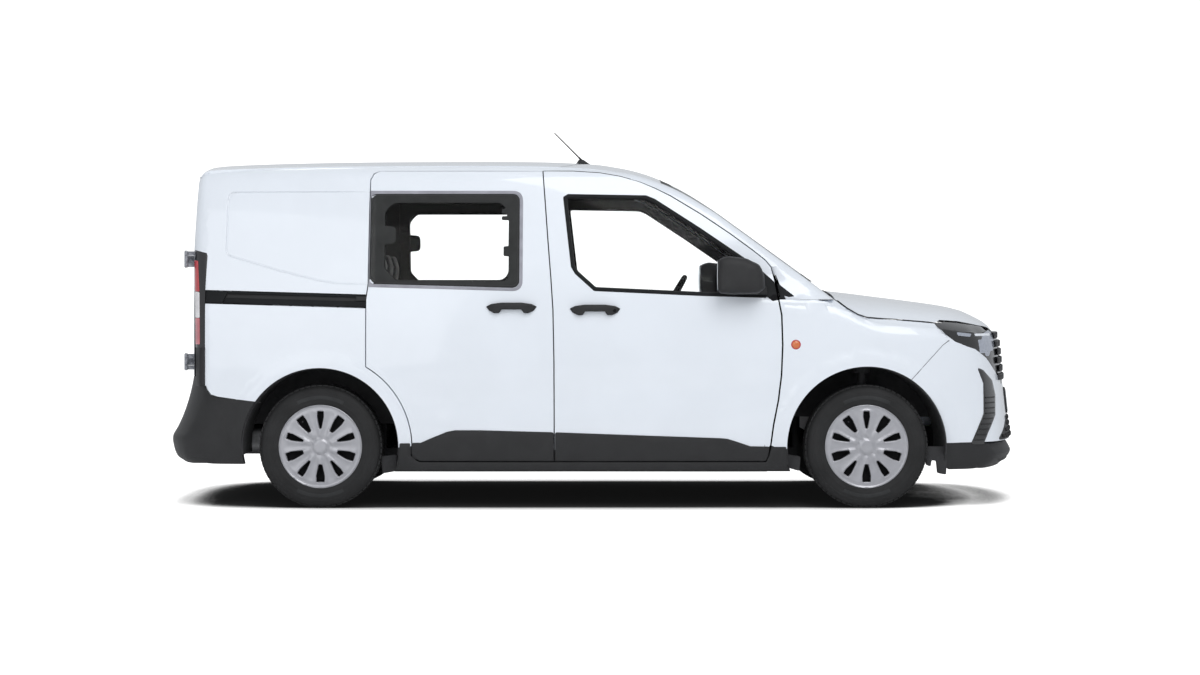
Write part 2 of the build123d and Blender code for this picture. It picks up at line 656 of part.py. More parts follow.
def rear_door(side):
    flange = layer(TAIL_FACE, AHEAD, 0, FLANGE) & front_view(rear_door_outline(side, 0), -2200, -1800)
    inset = STEP + SEAM
    box = layer(TAIL_FACE, AHEAD, 0, DOOR_THICKNESS) & front_view(
        rear_door_outline(side, inset), -2200, -1800
    )
    seat = layer(TAIL_FACE, AHEAD, -20, 20 + GLASS + SEAT_GAP) & front_view(
        rear_window_outline(side, 0), -2200, -1800, 30
    )
    clear = front_view(rear_window_outline(side, 45), -2200, -1800, 30)
    door = (flange + box).cut(seat, clear)
    shape = largest(door)
    for z in HINGE_HEIGHTS:
        shape = shape + rear_hinge(z, side)
    return largest(shape)


def rear_door_glass(side):
    return layer(TAIL_FACE, AHEAD, 0, GLASS) & front_view(
        rear_window_outline(side, TRIM_GAP), -2200, -1800, 30
    )


def rear_hinge(z, side):
    """A knuckle behind the corner of the body with the strap that holds the door to it."""
    y = side * REAR_HINGE_Y
    knuckle = rod((REAR_HINGE_X, y, z), (REAR_HINGE_X, y, z + HINGE_LENGTH), HINGE_RADIUS)
    a, b = sorted((side * (REAR_HINGE_Y - 80), y))
    strap = block(REAR_HINGE_X - 5, REAR_HINGE_X + 1, a, b, z, z + HINGE_LENGTH)
    a, b = sorted((side * (REAR_HINGE_Y - 80), side * (REAR_HINGE_Y - 40)))
    foot = block(REAR_HINGE_X - 5, -1996, a, b, z, z + HINGE_LENGTH)
    return knuckle + strap + foot


def rear_hinge_brackets():
    """The body's half of each rear hinge, above and below the door's knuckle."""
    pieces = []
    for z in HINGE_HEIGHTS:
        for low in (z - HINGE_BRACKET_HEIGHT - SEAT_GAP, z + HINGE_LENGTH + SEAT_GAP):
            high = low + HINGE_BRACKET_HEIGHT
            x, y = REAR_HINGE_X, REAR_HINGE_Y
            knuckle = rod((x, y, low), (x, y, high), HINGE_RADIUS)
            arm = block(REAR_HINGE_X, -1975, REAR_HINGE_Y - 16, REAR_HINGE_Y - 8, low, high)
            pieces.append(knuckle + arm)
    return pieces


def front_hinge_boss():
    """The seat under the front door's hinge axis, on the sill."""
    low, high = DOOR_BOTTOM - STEP, DOOR_BOTTOM + SEAM / 2 - SEAT_GAP
    x = FRONT_HINGE_X - 40
    y = side_y(x, DOOR_BOTTOM) - FLANGE / 2
    return rod((x, y, low), (x, y, high), 8)


def door_handle(x, z, length):
    """A pull handle that stands on two feet."""
    y = side_y(x, z)
    grip = block(x - length / 2, x + length / 2, y + 14, y + 34, z - 5, z + 29)
    grip = fillet(grip.edges().filter_by(Axis.Y), 14)
    feet = [
        block(x + s * (length / 2 - 40) - 18, x + s * (length / 2 - 40) + 18, y - 14, y + 20, z - 1, z + 25)
        for s in (-1, 1)
    ]
    return largest((grip + feet[0] + feet[1]) - side_slab(0, 60))


def mirror_housing():
    """An exterior mirror on the door, on a foot at the corner of its window."""
    head = block(596, 832, 912, MIRROR_OUT, 1050, 1236)
    head = fillet(head.edges(), 40)
    foot = block(680, 842, 800, 950, 1052, 1096) - side_slab(0, 300)
    return largest(head + foot)


# ---- wheels and running gear ------------------------------------------------
def revolve_profile(points, x, y, side):
    """A ring about a wheel's axle: its profile gives the place along the axle and the radius."""
    face = make_face(Polyline(*[(x, y + side * a, TYRE_RADIUS + r) for a, r in points], close=True))
    return revolve(face, axis=Axis((x, 0, TYRE_RADIUS), (0, 1, 0)), revolution_arc=360)


WHEEL_Y = TRACK / 2
HUB_FACE = 38


def tyre(x, side):
    w, r, bead = TYRE_WIDTH / 2, TYRE_RADIUS, RIM_RADIUS
    points = [
        (-w + 14, bead), (-w + 2, bead + 25), (-w, bead + 55), (-w + 6, r - 22), (-w + 22, r - 5),
        (-w + 45, r), (w - 45, r), (w - 22, r - 5), (w - 6, r - 22), (w, bead + 55),
        (w - 2, bead + 25), (w - 14, bead),
    ]
    return revolve_profile(points, x, side * WHEEL_Y, side)


def wheel(x, side):
    """Rim barrel, disc with ten openings, and the domed centre."""
    b = RIM_WIDTH / 2
    barrel = [(-b, RIM_RADIUS), (b, RIM_RADIUS), (b, RIM_RADIUS - 14), (-b, RIM_RADIUS - 14)]
    disc = [
        (b - 22, RIM_RADIUS - 5), (b - 4, RIM_RADIUS - 5), (b + 2, 130), (b - 2, 60), (b - 2, 0.01),
        (b - 22, 0.01), (b - 22, 60),
    ]
    hub = [(-HUB_FACE, 0.01), (b - 20, 0.01), (b - 20, 62), (-HUB_FACE, 62)]
    rotor = [(-22, 30), (0, 30), (0, 135), (-22, 135)]
    y = side * WHEEL_Y
    shape = revolve_profile(barrel, x, y, side) + revolve_profile(disc, x, y, side)
    shape = shape + revolve_profile(hub, x, y, side) + revolve_profile(rotor, x, y, side)
    openings = []
    low, high = sorted((side * (WHEEL_Y + b - 40), side * (WHEEL_Y + b + 30)))
    for i in range(10):
        wide = i % 2 == 0
        a = 17 if wide else 12
        points = [(94, 0.30 * a), (94, -0.30 * a), (172, -1.5 * a), (172, 1.5 * a)]
        face = make_face(Polyline(*[(p, 0, q) for p, q in points], close=True))
        cutter = extrude(face, amount=high - low, dir=(0, 1, 0))
        cutter = Pos(x, low, TYRE_RADIUS) * (Rotation(0, 36 * i + 18, 0) * cutter)
        openings.append(cutter)
    return largest(shape.cut(*openings))


def knuckle():
    """Hub carrier with its strut, turning about the vertical kingpin."""
    x, y = FRONT_AXLE_X, KINGPIN_Y
    post = rod((x, y, SUBFRAME_Z + SUBFRAME_ARM + SEAT_GAP), (x, y, STRUT_TOP_Z), 22)
    hub = rod((x, y, TYRE_RADIUS), (x, WHEEL_Y - HUB_FACE - SEAT_GAP, TYRE_RADIUS), 45)
    return largest(post + hub)


def front_subframe():
    """Cross-member with a lower arm out to each knuckle."""
    beam = block(1180, 1500, -330, 330, SUBFRAME_Z, SUBFRAME_Z + SUBFRAME_HEIGHT)
    shape = beam
    for side in (LEFT, RIGHT):
        a, b = sorted((side * 300, side * (KINGPIN_Y + 20)))
        arm = block(FRONT_AXLE_X - 24, FRONT_AXLE_X + 24, a, b, SUBFRAME_Z, SUBFRAME_Z + SUBFRAME_ARM)
        shape = shape + arm
    return largest(shape)


def rear_axle():
    """Twist beam with trailing arms and hub stubs."""
    z = TYRE_RADIUS
    end = WHEEL_Y - HUB_FACE - SEAT_GAP
    beam = rod((REAR_AXLE_X, -end, z), (REAR_AXLE_X, end, z), 34)
    for side in (LEFT, RIGHT):
        a, b = sorted((side * 500, side * 548))
        beam = beam + block(REAR_AXLE_X, REAR_AXLE_X + TRAILING_ARM, a, b, SUBFRAME_Z, FLOOR_Z - SEAT_GAP)
        beam = beam + block(REAR_AXLE_X - 30, REAR_AXLE_X + 30, a, b, SUBFRAME_Z, z)
    return largest(beam)


def fuel_tank():
    tank = block(-1300, RISER_X - 5, -430, 430, 210, LOAD_FLOOR_Z - SEAT_GAP)
    return fillet(tank.edges().filter_by(Axis.Z), 60)


def exhaust():
    """Silencer and pipe, hung under the floor."""
    silencer = block(-1880, -1480, -500, -220, 240, 400)
    silencer = fillet(silencer.edges().filter_by(Axis.X), 60)
    for x in (-1840, -1520):
        silencer = silencer + block(x - 15, x + 15, -370, -350, 390, LOAD_FLOOR_Z - SEAT_GAP)
    return silencer


def engine_block():
    block_shape = block(1120, 1640, -400, 400, 330, 860)
    mounts = block(1250, 1450, -200, 200, SUBFRAME_Z + SUBFRAME_HEIGHT + SEAT_GAP, 331)
    return block_shape + mounts


# ---- cabin -------------------------------------------------------------------
def dashboard():
    outline = [
        (640, 700), (625, 900), (700, 1000), (860, 1010), (1004, 978), (1009.7, 978), (1009.7, 560),
        (900, 560),
    ]
    body = side_view(outline, -735, 735) & INSIDE_DOORS
    x, y, z = STEERING_WHEEL_CENTRE
    d = Vector(math.cos(math.radians(STEERING_TILT)), 0, -math.sin(math.radians(STEERING_TILT)))
    c = Vector(x, y, z)
    column = rod(c + d * 30.3, c + d * 330, 32)
    return largest(body + column)


def steering_wheel():
    """Rim, hub and three spokes in a plane that leans towards the driver."""
    plane = Plane(
        origin=STEERING_WHEEL_CENTRE,
        x_dir=(0, 1, 0),
        z_dir=(-math.cos(math.radians(STEERING_TILT)), 0, math.sin(math.radians(STEERING_TILT))),
    )
    rim = Torus(STEERING_WHEEL_RADIUS - 15, 15)
    hub = Pos(0, 0, -5) * Cylinder(58, 50)
    shape = rim + hub
    for angle in (0, 180, 270):
        spoke = Pos(95, 0, 2) * Box(130, 34, 14)
        shape = shape + Rotation(0, 0, angle) * spoke
    return largest(plane * shape)


def front_seat(y):
    cushion = side_view([(-150, 430), (330, 430), (345, 500), (320, 570), (-120, 545)], y - 240, y + 240)
    back = side_view([(-70, 545), (-190, 545), (-345, 1240), (-235, 1240)], y - 235, y + 235)
    post = side_view([(-315, 1230), (-275, 1230), (-290, 1320), (-330, 1320)], y - 60, y + 60)
    head = side_view([(-355, 1300), (-265, 1300), (-275, 1480), (-345, 1480)], y - 130, y + 130)
    base = block(-100, 260, y - 200, y + 200, FLOOR_Z + FLOOR_THICKNESS + SEAT_GAP, 431)
    return largest(cushion + back + post + head + base)


def rear_bench():
    half = 548
    cushion = side_view([(-950, 430), (-500, 430), (-490, 520), (-520, 560), (-950, 545)], -half, half)
    back = side_view(
        [(-930, 500), (-1045, 500), (-1050, 620), (-1135, 1105), (-1050, 1105), (-945, 560)], -half, half
    )
    base = block(-920, -620, -480, 480, FLOOR_Z + FLOOR_THICKNESS + SEAT_GAP, 431)
    return largest(cushion + back + base)


def roof_antenna():
    """A raked rod on a low base at the middle of the roof."""
    base_z = roof_z(-60, 0)
    base = side_view(
        [(-105, base_z - 6), (-20, base_z - 6), (-40, base_z + 16), (-72, base_z + 34), (-92, base_z + 24)],
        -22, 22,
    ) & block(-200, 100, -22, 22, 1700, 1900)
    base -= layer(ROOF_FACE, DOWN, -SEAT_GAP, 1700)
    mast = rod((-66, 0, base_z + 22), ANTENNA_TIP, 4)
    return largest(base + mast)


def build():
    side = body_side()
    for bracket in rear_hinge_brackets() + [front_hinge_boss()]:
        side = side + bracket
    side = largest(side)
    nodes = {
        "body_side_left": side,
        "body_side_right": mirror(side, about=Plane.XZ),
        "roof": roof(),
        "windscreen": windscreen(),
        "bonnet": bonnet(),
        "cowl_panel": cowl_panel(),
        "firewall": firewall(),
        "floor_pan": floor_pan(),
        "wheel_arch_liners": wheel_arch_liners(),
        "front_bumper": front_bumper(),
        "front_spoiler": front_spoiler(),
        "grille": grille(),
        "rear_bumper": rear_bumper(),
        "door_tracks": both_sides(door_track()),
        "sliding_door_glass": both_sides(sliding_door_glass()),
        "front_subframe": front_subframe(),
        "rear_axle": rear_axle(),
        "fuel_tank": fuel_tank(),
        "exhaust": exhaust(),
        "engine_block": engine_block(),
        "dashboard": dashboard(),
        "steering_wheel": steering_wheel(),
        "front_seats": [front_seat(370), front_seat(-370)],
        "rear_bench": rear_bench(),
        "roof_antenna": roof_antenna(),
        "sliding_door_handles": both_sides(door_handle(-412, 980, 250)),
    }
    pairs = {
        "front_wing": front_wing(),
        "headlamp": headlamp(),
        "tail_lamp": tail_lamp(),
        "sliding_door": sliding_door(),
        "front_door": front_door(),
        "front_door_glass": front_door_glass(),
        "front_door_handle": door_handle(0, 970, 246),
        "mirror": mirror_housing(),
        "knuckle": knuckle(),
    }
    for name, shape in pairs.items():
        nodes[name + "_left"] = shape
        nodes[name + "_right"] = mirror(shape, about=Plane.XZ)
    for side, label in ((LEFT, "left"), (RIGHT, "right")):
        nodes["rear_door_" + label] = rear_door(side)
        nodes["rear_door_glass_" + label] = rear_door_glass(side)
        for x, end in ((FRONT_AXLE_X, "front"), (REAR_AXLE_X, "rear")):
            nodes[f"tyre_{end}_{label}"] = tyre(x, side)
            nodes[f"wheel_{end}_{label}"] = wheel(x, side)
    return nodes


def write(nodes):
    os.makedirs("parts", exist_ok=True)
    for name, shape in nodes.items():
        shapes = shape if isinstance(shape, list) else [shape]
        solids = [s for item in shapes for s in item.solids()]
        export_step(Compound(solids), f"parts/{name}.step")
        print(name, len(solids), flush=True)


if __name__ == "__main__":
    write(build())
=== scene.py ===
"""Looks of the compact passenger van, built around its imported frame."""

import math

import bmesh
import bpy
import numpy as np
from mathutils import Matrix, Vector, geometry


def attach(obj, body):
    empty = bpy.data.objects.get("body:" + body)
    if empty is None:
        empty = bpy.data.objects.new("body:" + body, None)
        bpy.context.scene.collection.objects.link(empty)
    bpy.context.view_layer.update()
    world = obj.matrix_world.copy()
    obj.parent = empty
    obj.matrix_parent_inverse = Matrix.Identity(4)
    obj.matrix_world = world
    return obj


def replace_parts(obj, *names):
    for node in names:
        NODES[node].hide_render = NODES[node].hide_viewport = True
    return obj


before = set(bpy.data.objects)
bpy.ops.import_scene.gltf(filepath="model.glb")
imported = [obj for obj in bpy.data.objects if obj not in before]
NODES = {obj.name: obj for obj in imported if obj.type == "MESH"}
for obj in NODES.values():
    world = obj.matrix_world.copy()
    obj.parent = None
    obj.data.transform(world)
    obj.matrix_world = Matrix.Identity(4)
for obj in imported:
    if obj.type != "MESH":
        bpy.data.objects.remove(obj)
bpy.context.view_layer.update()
MM = 0.001
LEFT, RIGHT = 1, -1
SAME_POINT = 0.02  # vertices this close are one
LONGEST_EDGE, FINE_EDGE = 45, 4  # of a panel's outer face, and of it along the stamping
FINE_REACH = 7
FACE_ALONG = 0.8  # the least cosine between a face and the skin it is laid on
STRAY = 40  # a vertex that would move further than this stays

# Sizes and skins repeat the CAD part's own values, in millimetres.
FRONT_AXLE_X, REAR_AXLE_X, AXLE_Z = 1338.5, -1353.5, 303
FRONT_ARCH, REAR_ARCH = 395, 388
SIDE_SECTION = [
    (120, 60), (200, 28), (330, 8), (500, 1), (700, 0), (850, 4), (1000, 16), (1100, 32),
    (1200, 52), (1400, 94), (1550, 132), (1640, 167), (1700, 210), (1740, 260), (1800, 360),
]
ROOF_LINE = [
    (-2250, 62), (-2030, 38), (-1872, 20), (-1456, 6), (-1000, 0), (-300, 0), (0, 13), (104, 28),
    (208, 50), (315, 86), (447, 148), (600, 246), (750, 353), (900, 461), (1050, 570),
    (1200, 680), (1400, 826),
]
BONNET_LINE = [
    (950, 1092), (1200, 1074), (1318, 1062), (1444, 1046), (1612, 1025), (1780, 1002),
    (1864, 986), (1948, 962), (2013, 935), (2060, 905), (2100, 860), (2150, 780),
]
NOSE_LINE = [
    (100, 2086), (186, 2112), (215, 2148), (249, 2171.7), (320, 2168.5), (437, 2151), (573, 2136),
    (650, 2126), (720, 2118), (818, 2106), (860, 2088), (911, 2050), (980, 1960), (1250, 1900),
]
TAIL_LINE = [(80, -2046), (1250, -2044), (1400, -2036), (1600, -2022), (1760, -2004)]
BUMPER_LINE = [
    (180, -2080), (215, -2112), (240, -2148), (290, -2168), (340, -2172), (380, -2150),
    (440, -2122), (520, -2094), (600, -2074), (660, -2064),
]
QUARTER_STAMPING = [
    (-1788, 1563), (-1085, 1563), (-1085, 1101), (-1213, 1104), (-1287, 1107), (-1361, 1119),
    (-1460, 1144), (-1559, 1168), (-1711, 1213), (-1800, 1238), (-1823, 1250), (-1830, 1273),
    (-1828, 1523), (-1825, 1543), (-1816, 1555), (-1803, 1562),
]
FRONT_WINDOW = [
    (-159, 1537), (-134, 1552), (254, 1545), (298, 1527), (521, 1382), (732, 1238), (832, 1163),
    (884, 1116), (899, 1034), (518, 1045), (-5, 1069), (-99, 1154), (-119, 1188),
]


# ---- skins -----------------------------------------------------------------
def smooth(table, t):
    """A smooth curve through a table of (place, value), for an array of places."""
    xs, ys = np.array(table, float).T
    low = np.maximum(np.arange(len(xs)) - 1, 0)
    high = np.minimum(np.arange(len(xs)) + 1, len(xs) - 1)
    slope = (ys[high] - ys[low]) / (xs[high] - xs[low])
    i = np.clip(np.searchsorted(xs, t, side="right") - 1, 0, len(xs) - 2)
    h = xs[i + 1] - xs[i]
    u = np.clip((t - xs[i]) / h, 0, 1)
    start = (2 * u**3 - 3 * u * u + 1) * ys[i] + (u**3 - 2 * u * u + u) * h * slope[i]
    return start + (3 * u * u - 2 * u**3) * ys[i + 1] + (u**3 - u * u) * h * slope[i + 1]


def ease(t):
    """A soft step from 0 to 1."""
    t = np.clip(t, 0, 1)
    return t * t * (3 - 2 * t)


def inside(outline, points):
    """Which of the points lie inside a closed outline."""
    pts, ring = np.asarray(points, float), np.asarray(outline, float)
    found = np.zeros(len(pts), bool)
    for (ax, ay), (bx, by) in zip(ring, np.roll(ring, -1, 0)):
        if ay == by:
            continue
        crosses = (ay > pts[:, 1]) != (by > pts[:, 1])
        found ^= crosses & (pts[:, 0] < (bx - ax) * (pts[:, 1] - ay) / (by - ay) + ax)
    return found


def edge_distance(outline, points):
    """How far each point is from the nearest side of a closed outline."""
    pts, ring = np.asarray(points, float), np.asarray(outline, float)
    best = np.full(len(pts), 1e9)
    for a, b in zip(ring, np.roll(ring, -1, 0)):
        d = b - a
        t = np.clip(((pts - a) @ d) / max(d @ d, 1e-9), 0, 1)
        best = np.minimum(best, np.linalg.norm(pts - a - t[:, None] * d, axis=1))
    return best


def by_stamping(x, z):
    return (x < -1100) & (x > -1900) & (z > 1050) & (z < 1620)


def pressed(x, z):
    """How far the side stands out of its plain skin: arch lips, the door hollow and the quarter stamping."""
    out = np.zeros_like(x)
    for centre, radius in ((FRONT_AXLE_X, FRONT_ARCH), (REAR_AXLE_X, REAR_ARCH)):
        r = np.hypot(x - centre, z - AXLE_Z)
        out += 8 * (1 - ease((r - radius - 40) / 45)) * ease((z - 200) / 120)
    along = ease((x + 1100) / 350) * ease((1050 - x) / 450)
    out -= 9 * np.exp(-(((z - 560 - 0.05 * x) / 95) ** 2)) * along
    near = by_stamping(x, z)
    if near.any():
        pts = np.stack([x[near], z[near]], 1)
        d = edge_distance(QUARTER_STAMPING, pts) * np.where(inside(QUARTER_STAMPING, pts), 1, -1)
        fade = 1 - 0.6 * ease((x[near] + 1300) / 190)
        out[near] -= fade * (6 * ease((d + 4) / 8) + 2.5 * np.exp(-(((d - 2) / 3.5) ** 2)))
    return out


def side_y(x, z):
    nose = np.maximum((x - 900) / 1250, 0)
    tail = np.maximum((-1100 - x) / 950, 0)
    cab = np.maximum((x - 300) / 700, 0) ** 2 * np.clip((z - 1000) / 150, 0, 1)
    return 900 - smooth(SIDE_SECTION, z) - 230 * nose**3 - 62 * tail**2.2 - 40 * cab


def roof_z(x, y):
    flat = np.clip(x / 600, 0, 1)
    crown = y * y / 8400 * (1 - 0.7 * flat)
    return 1748 - smooth(ROOF_LINE, x + y * y / 16000) - crown


def bonnet_z(x, y):
    share = 0.33 + 0.67 * ease((x - 1130) / 320)
    drop = 28 * (y / 600) ** 2 + 45 * (y / 850) ** 8
    return smooth(BONNET_LINE, x + y * y / 3400) - share * drop


def nose_x(y, z):
    return smooth(NOSE_LINE, z) - y * y / 3400 - 120 * (y / 850) ** 8


def tail_x(y, z):
    return smooth(TAIL_LINE, z) + y * y / 14000 + 45 * (y / 850) ** 10


def bumper_x(y, z):
    return smooth(BUMPER_LINE, z) + y * y / 9000 + 110 * (y / 850) ** 8


SKINS = {
    "side": lambda p: np.abs(p[:, 1]) - side_y(p[:, 0], p[:, 2]),
    "pressed": lambda p: np.abs(p[:, 1]) - side_y(p[:, 0], p[:, 2]) - pressed(p[:, 0], p[:, 2]),
    "roof": lambda p: p[:, 2] - roof_z(p[:, 0], p[:, 1]),
    "bonnet": lambda p: p[:, 2] - bonnet_z(p[:, 0], p[:, 1]),
    "nose": lambda p: p[:, 0] - nose_x(p[:, 1], p[:, 2]),
    "tail": lambda p: tail_x(p[:, 1], p[:, 2]) - p[:, 0],
    "lip": lambda p: p[:, 0] - nose_x(p[:, 1], p[:, 2]) + 0.5 * np.maximum(p[:, 2] - 256, 0),
    "bumper": lambda p: bumper_x(p[:, 1], p[:, 2]) - p[:, 0],
}


def gradient(f, p):
    g = np.zeros_like(p)
    for i in range(3):
        step = np.zeros(3)
        step[i] = 1.0
        g[:, i] = (f(p + step) - f(p - step)) / 2
    return g


def near_distance(name, p):
    """A skin's function in about millimetres from it."""
    f = SKINS[name]
    return f(p) / np.maximum(np.linalg.norm(gradient(f, p), axis=1), 0.3)


def joined(names, p, radius):
    """Several skins as one, its creases rounded."""
    total = near_distance(names[0], p)
    for name in names[1:]:
        other = near_distance(name, p)
        h = np.maximum(radius - np.abs(total - other), 0) / radius
        total = np.maximum(total, other) + h * h * radius / 4
    return total


def project(names, p, radius, depth=0):
    """Moves points onto the joined skins, and gives them and their outward directions."""
    for _ in range(3):
        f = joined(names, p, radius) + depth
        g = gradient(lambda q: joined(names, q, radius), p)
        p = p - f[:, None] * g / np.maximum((g * g).sum(1), 0.1)[:, None]
    g = gradient(lambda q: joined(names, q, radius), p)
    return p, g / np.linalg.norm(g, axis=1)[:, None]


# ---- making pieces ---------------------------------------------------------
def link(name, data):
    obj = bpy.data.objects.new(name, data)
    bpy.context.scene.collection.objects.link(obj)
    return obj


def new_object(name, mesh, body, materials):
    obj = link(name, mesh)
    for material in materials if isinstance(materials, (list, tuple)) else [materials]:
        obj.data.materials.append(material)
    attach(obj, body)
    return obj


def shade(mesh, degrees=35):
    mesh.shade_smooth()
    mesh.set_sharp_from_angle(angle=math.radians(degrees))


def merged(node):
    """A copy of a CAD mesh whose faces share their corners."""
    bm = bmesh.new()
    bm.from_mesh(NODES[node].data)
    bmesh.ops.remove_doubles(bm, verts=bm.verts, dist=SAME_POINT * MM)
    return bm


def coords(bm):
    return np.array([v.co[:] for v in bm.verts], float).reshape(-1, 3) / MM


def refine(bm, layer, longest, fine=None):
    """Splits the long edges of the marked faces until all are short, and shorter still where fine says so."""
    for _ in range(12):
        marked = [f for f in bm.faces if f[layer]]
        long_edges = {e for f in marked for e in f.edges if e.calc_length() > longest * MM}
        if fine:
            middle = {e: (e.verts[0].co + e.verts[1].co) / 2 / MM for f in marked for e in f.edges}
            wanted = [e for e in middle if e not in long_edges and e.calc_length() > fine[0] * MM]
            if wanted:
                reach = np.array([e.calc_length() / MM for e in wanted]) / 2 + FINE_REACH
                near = fine[1](np.array([middle[e][:] for e in wanted]), reach)
                long_edges |= {e for e, hit in zip(wanted, near) if hit}
        if not long_edges:
            break
        bmesh.ops.subdivide_edges(bm, edges=list(long_edges), cuts=1)
        bmesh.ops.triangulate(bm, faces=[f for f in bm.faces if len(f.verts) > 3])


def near_stamping(p, reach):
    """Which points lie within reach of the stamping's outline."""
    near = by_stamping(p[:, 0], p[:, 2])
    hit = np.zeros(len(p), bool)
    if near.any():
        hit[near] = edge_distance(QUARTER_STAMPING, p[near][:, [0, 2]]) < reach[near]
    return hit


def smooth_panel(node, skins, body, materials, radius=30, within=2.6, depths=(0,), pocket=False,
                 inner=None, outer=None):
    """A CAD panel with its outer face laid on the skin exactly, shaded by the skin itself.

    Each depth in depths marks one more face that many millimetres under the skin. inner and outer pick the
    material of a face from its middle.
    """
    bm = merged(node)
    bmesh.ops.triangulate(bm, faces=bm.faces)
    bm.normal_update()
    mark = bm.faces.layers.int.new("outer")
    plain = [{"pressed": "side", "lip": "nose"}.get(s, s) for s in skins]
    points = coords(bm)
    level = joined(plain, points, 1)
    bm.verts.index_update()
    faces = list(bm.faces)
    corners = np.array([[v.index for v in f.verts] for f in faces])
    normals = np.array([f.normal[:] for f in faces])
    middle = points[corners].mean(1)
    g = gradient(lambda q: joined(plain, q, 1), middle)
    facing = (normals * g).sum(1) / np.maximum(np.linalg.norm(g, axis=1), 1e-6)
    for number, depth in enumerate(depths, 1):
        on = (np.abs(level[corners] + depth) < within).all(1) & (np.abs(facing) > FACE_ALONG)
        if pocket:
            stamped = inside(QUARTER_STAMPING, middle[:, [0, 2]])
            close = edge_distance(QUARTER_STAMPING, middle[:, [0, 2]]) < 3
            on |= (np.abs(level[corners] + 2.5) < 6).all(1) & (stamped | close)
        for f, hit in zip(faces, on):
            if hit:
                f[mark] = number
    refine(bm, mark, LONGEST_EDGE, (FINE_EDGE, near_stamping) if pocket else None)
    bm.verts.index_update()
    points = coords(bm)
    directions = np.zeros_like(points)
    for number, depth in enumerate(depths, 1):
        chosen = sorted({v.index for f in bm.faces if f[mark] == number for v in f.verts})
        if not chosen:
            continue
        moved, toward = project(skins, points[chosen], radius, depth)
        far = np.linalg.norm(moved - points[chosen], axis=1) > STRAY
        moved[far] = points[chosen][far]
        points[chosen] = moved
        directions[chosen] = toward
    for v in bm.verts:
        v.co = Vector(points[v.index]) * MM
    bm.normal_update()
    for f in bm.faces:
        if f[mark] and outer:
            f.material_index = int(outer(f.calc_center_median() / MM))
        elif inner and not f[mark]:
            f.material_index = int(inner(f.calc_center_median() / MM, f.normal))
    mesh = bpy.data.meshes.new(node + "_panel")
    bm.faces.index_update()
    flags = [f[mark] for f in bm.faces]
    bm.to_mesh(mesh)
    shade(mesh)
    mesh.attributes.remove(mesh.attributes["outer"])
    loops = np.zeros((len(mesh.loops), 3))
    for polygon, flag in zip(mesh.polygons, flags):
        if flag:
            for k in polygon.loop_indices:
                way = directions[mesh.loops[k].vertex_index]
                loops[k] = way if Vector(way).dot(polygon.normal) > 0 else -way
    mesh.normals_split_custom_set(loops.tolist())
    obj = new_object(mesh.name, mesh, body, materials)
    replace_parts(obj, node)
    return obj


# ---- finishes --------------------------------------------------------------
def wired(tree, kind, inputs=None, **settings):
    """A new node. An input gets a value, or a link when its value is another node's output."""
    made = tree.nodes.new(kind)
    for name, value in settings.items():
        setattr(made, name, value)
    for key, value in (inputs or {}).items():
        if isinstance(value, bpy.types.NodeSocket):
            tree.links.new(value, made.inputs[key])
        else:
            made.inputs[key].default_value = value
    return made


def feed(material, key, made):
    tree = material.node_tree
    tree.links.new(made.outputs[0], tree.nodes["Principled BSDF"].inputs[key])


def finish(name, color, rough, metal=0.0, coat=0.0, transmission=0.0, ior=1.5, sheen=0.0):
    material = bpy.data.materials.new(name)
    material.use_nodes = True
    for key, value in {
        "Base Color": (*color, 1), "Roughness": rough, "Metallic": metal, "Coat Weight": coat,
        "Coat Roughness": 0.04, "Transmission Weight": transmission, "IOR": ior, "Sheen Weight": sheen,
    }.items():
        material.node_tree.nodes["Principled BSDF"].inputs[key].default_value = value
    return material


def texture(material, kind, scale, stretch=(1, 1, 1), detail=3.0):
    tree = material.node_tree
    place = wired(tree, "ShaderNodeTexCoord").outputs["Object"]
    mapping = wired(tree, "ShaderNodeMapping", {"Scale": stretch, "Vector": place})
    made = wired(tree, "ShaderNodeTex" + kind, {"Scale": scale, "Vector": mapping.outputs["Vector"]})
    if "Detail" in made.inputs:
        made.inputs["Detail"].default_value = detail
    return made.outputs["Distance"] if kind == "Voronoi" else made.outputs[0]


def vary_color(material, pattern, color, share, low=0.35, high=0.65):
    """Two shades of the base colour, blended by a pattern."""
    ramp = wired(material.node_tree, "ShaderNodeValToRGB", {0: pattern})
    for stop, place, factor in zip(ramp.color_ramp.elements, (low, high), (1 - share, 1 + share)):
        stop.position = place
        stop.color = (*(min(c * factor, 1) for c in color), 1)
    feed(material, "Base Color", ramp)


def vary_rough(material, pattern, low, high):
    limits = {"Value": pattern, "To Min": low, "To Max": high}
    feed(material, "Roughness", wired(material.node_tree, "ShaderNodeMapRange", limits))


def bumps(material, pattern, strength, height):
    relief = {"Height": pattern, "Strength": strength, "Distance": height}
    feed(material, "Normal", wired(material.node_tree, "ShaderNodeBump", relief))


def grained(name, color, rough, scale=900, strength=0.25, height=0.0003, share=0.12, **more):
    """Moulded plastic: a fine pebbled grain with slightly uneven colour and gloss."""
    material = finish(name, color, rough, **more)
    vary_color(material, texture(material, "Noise", 14), color, share)
    grain = texture(material, "Voronoi", scale)
    vary_rough(material, grain, rough - 0.06, rough + 0.08)
    bumps(material, grain, strength, height)
    return material


def make_paint():
    color = (0.785, 0.825, 0.880)
    material = finish("white_paint", color, 0.32, coat=1.0)
    vary_color(material, texture(material, "Noise", 3), color, 0.012, 0.4, 0.6)
    bumps(material, texture(material, "Noise", 420, detail=1.0), 0.03, 0.0002)
    return material


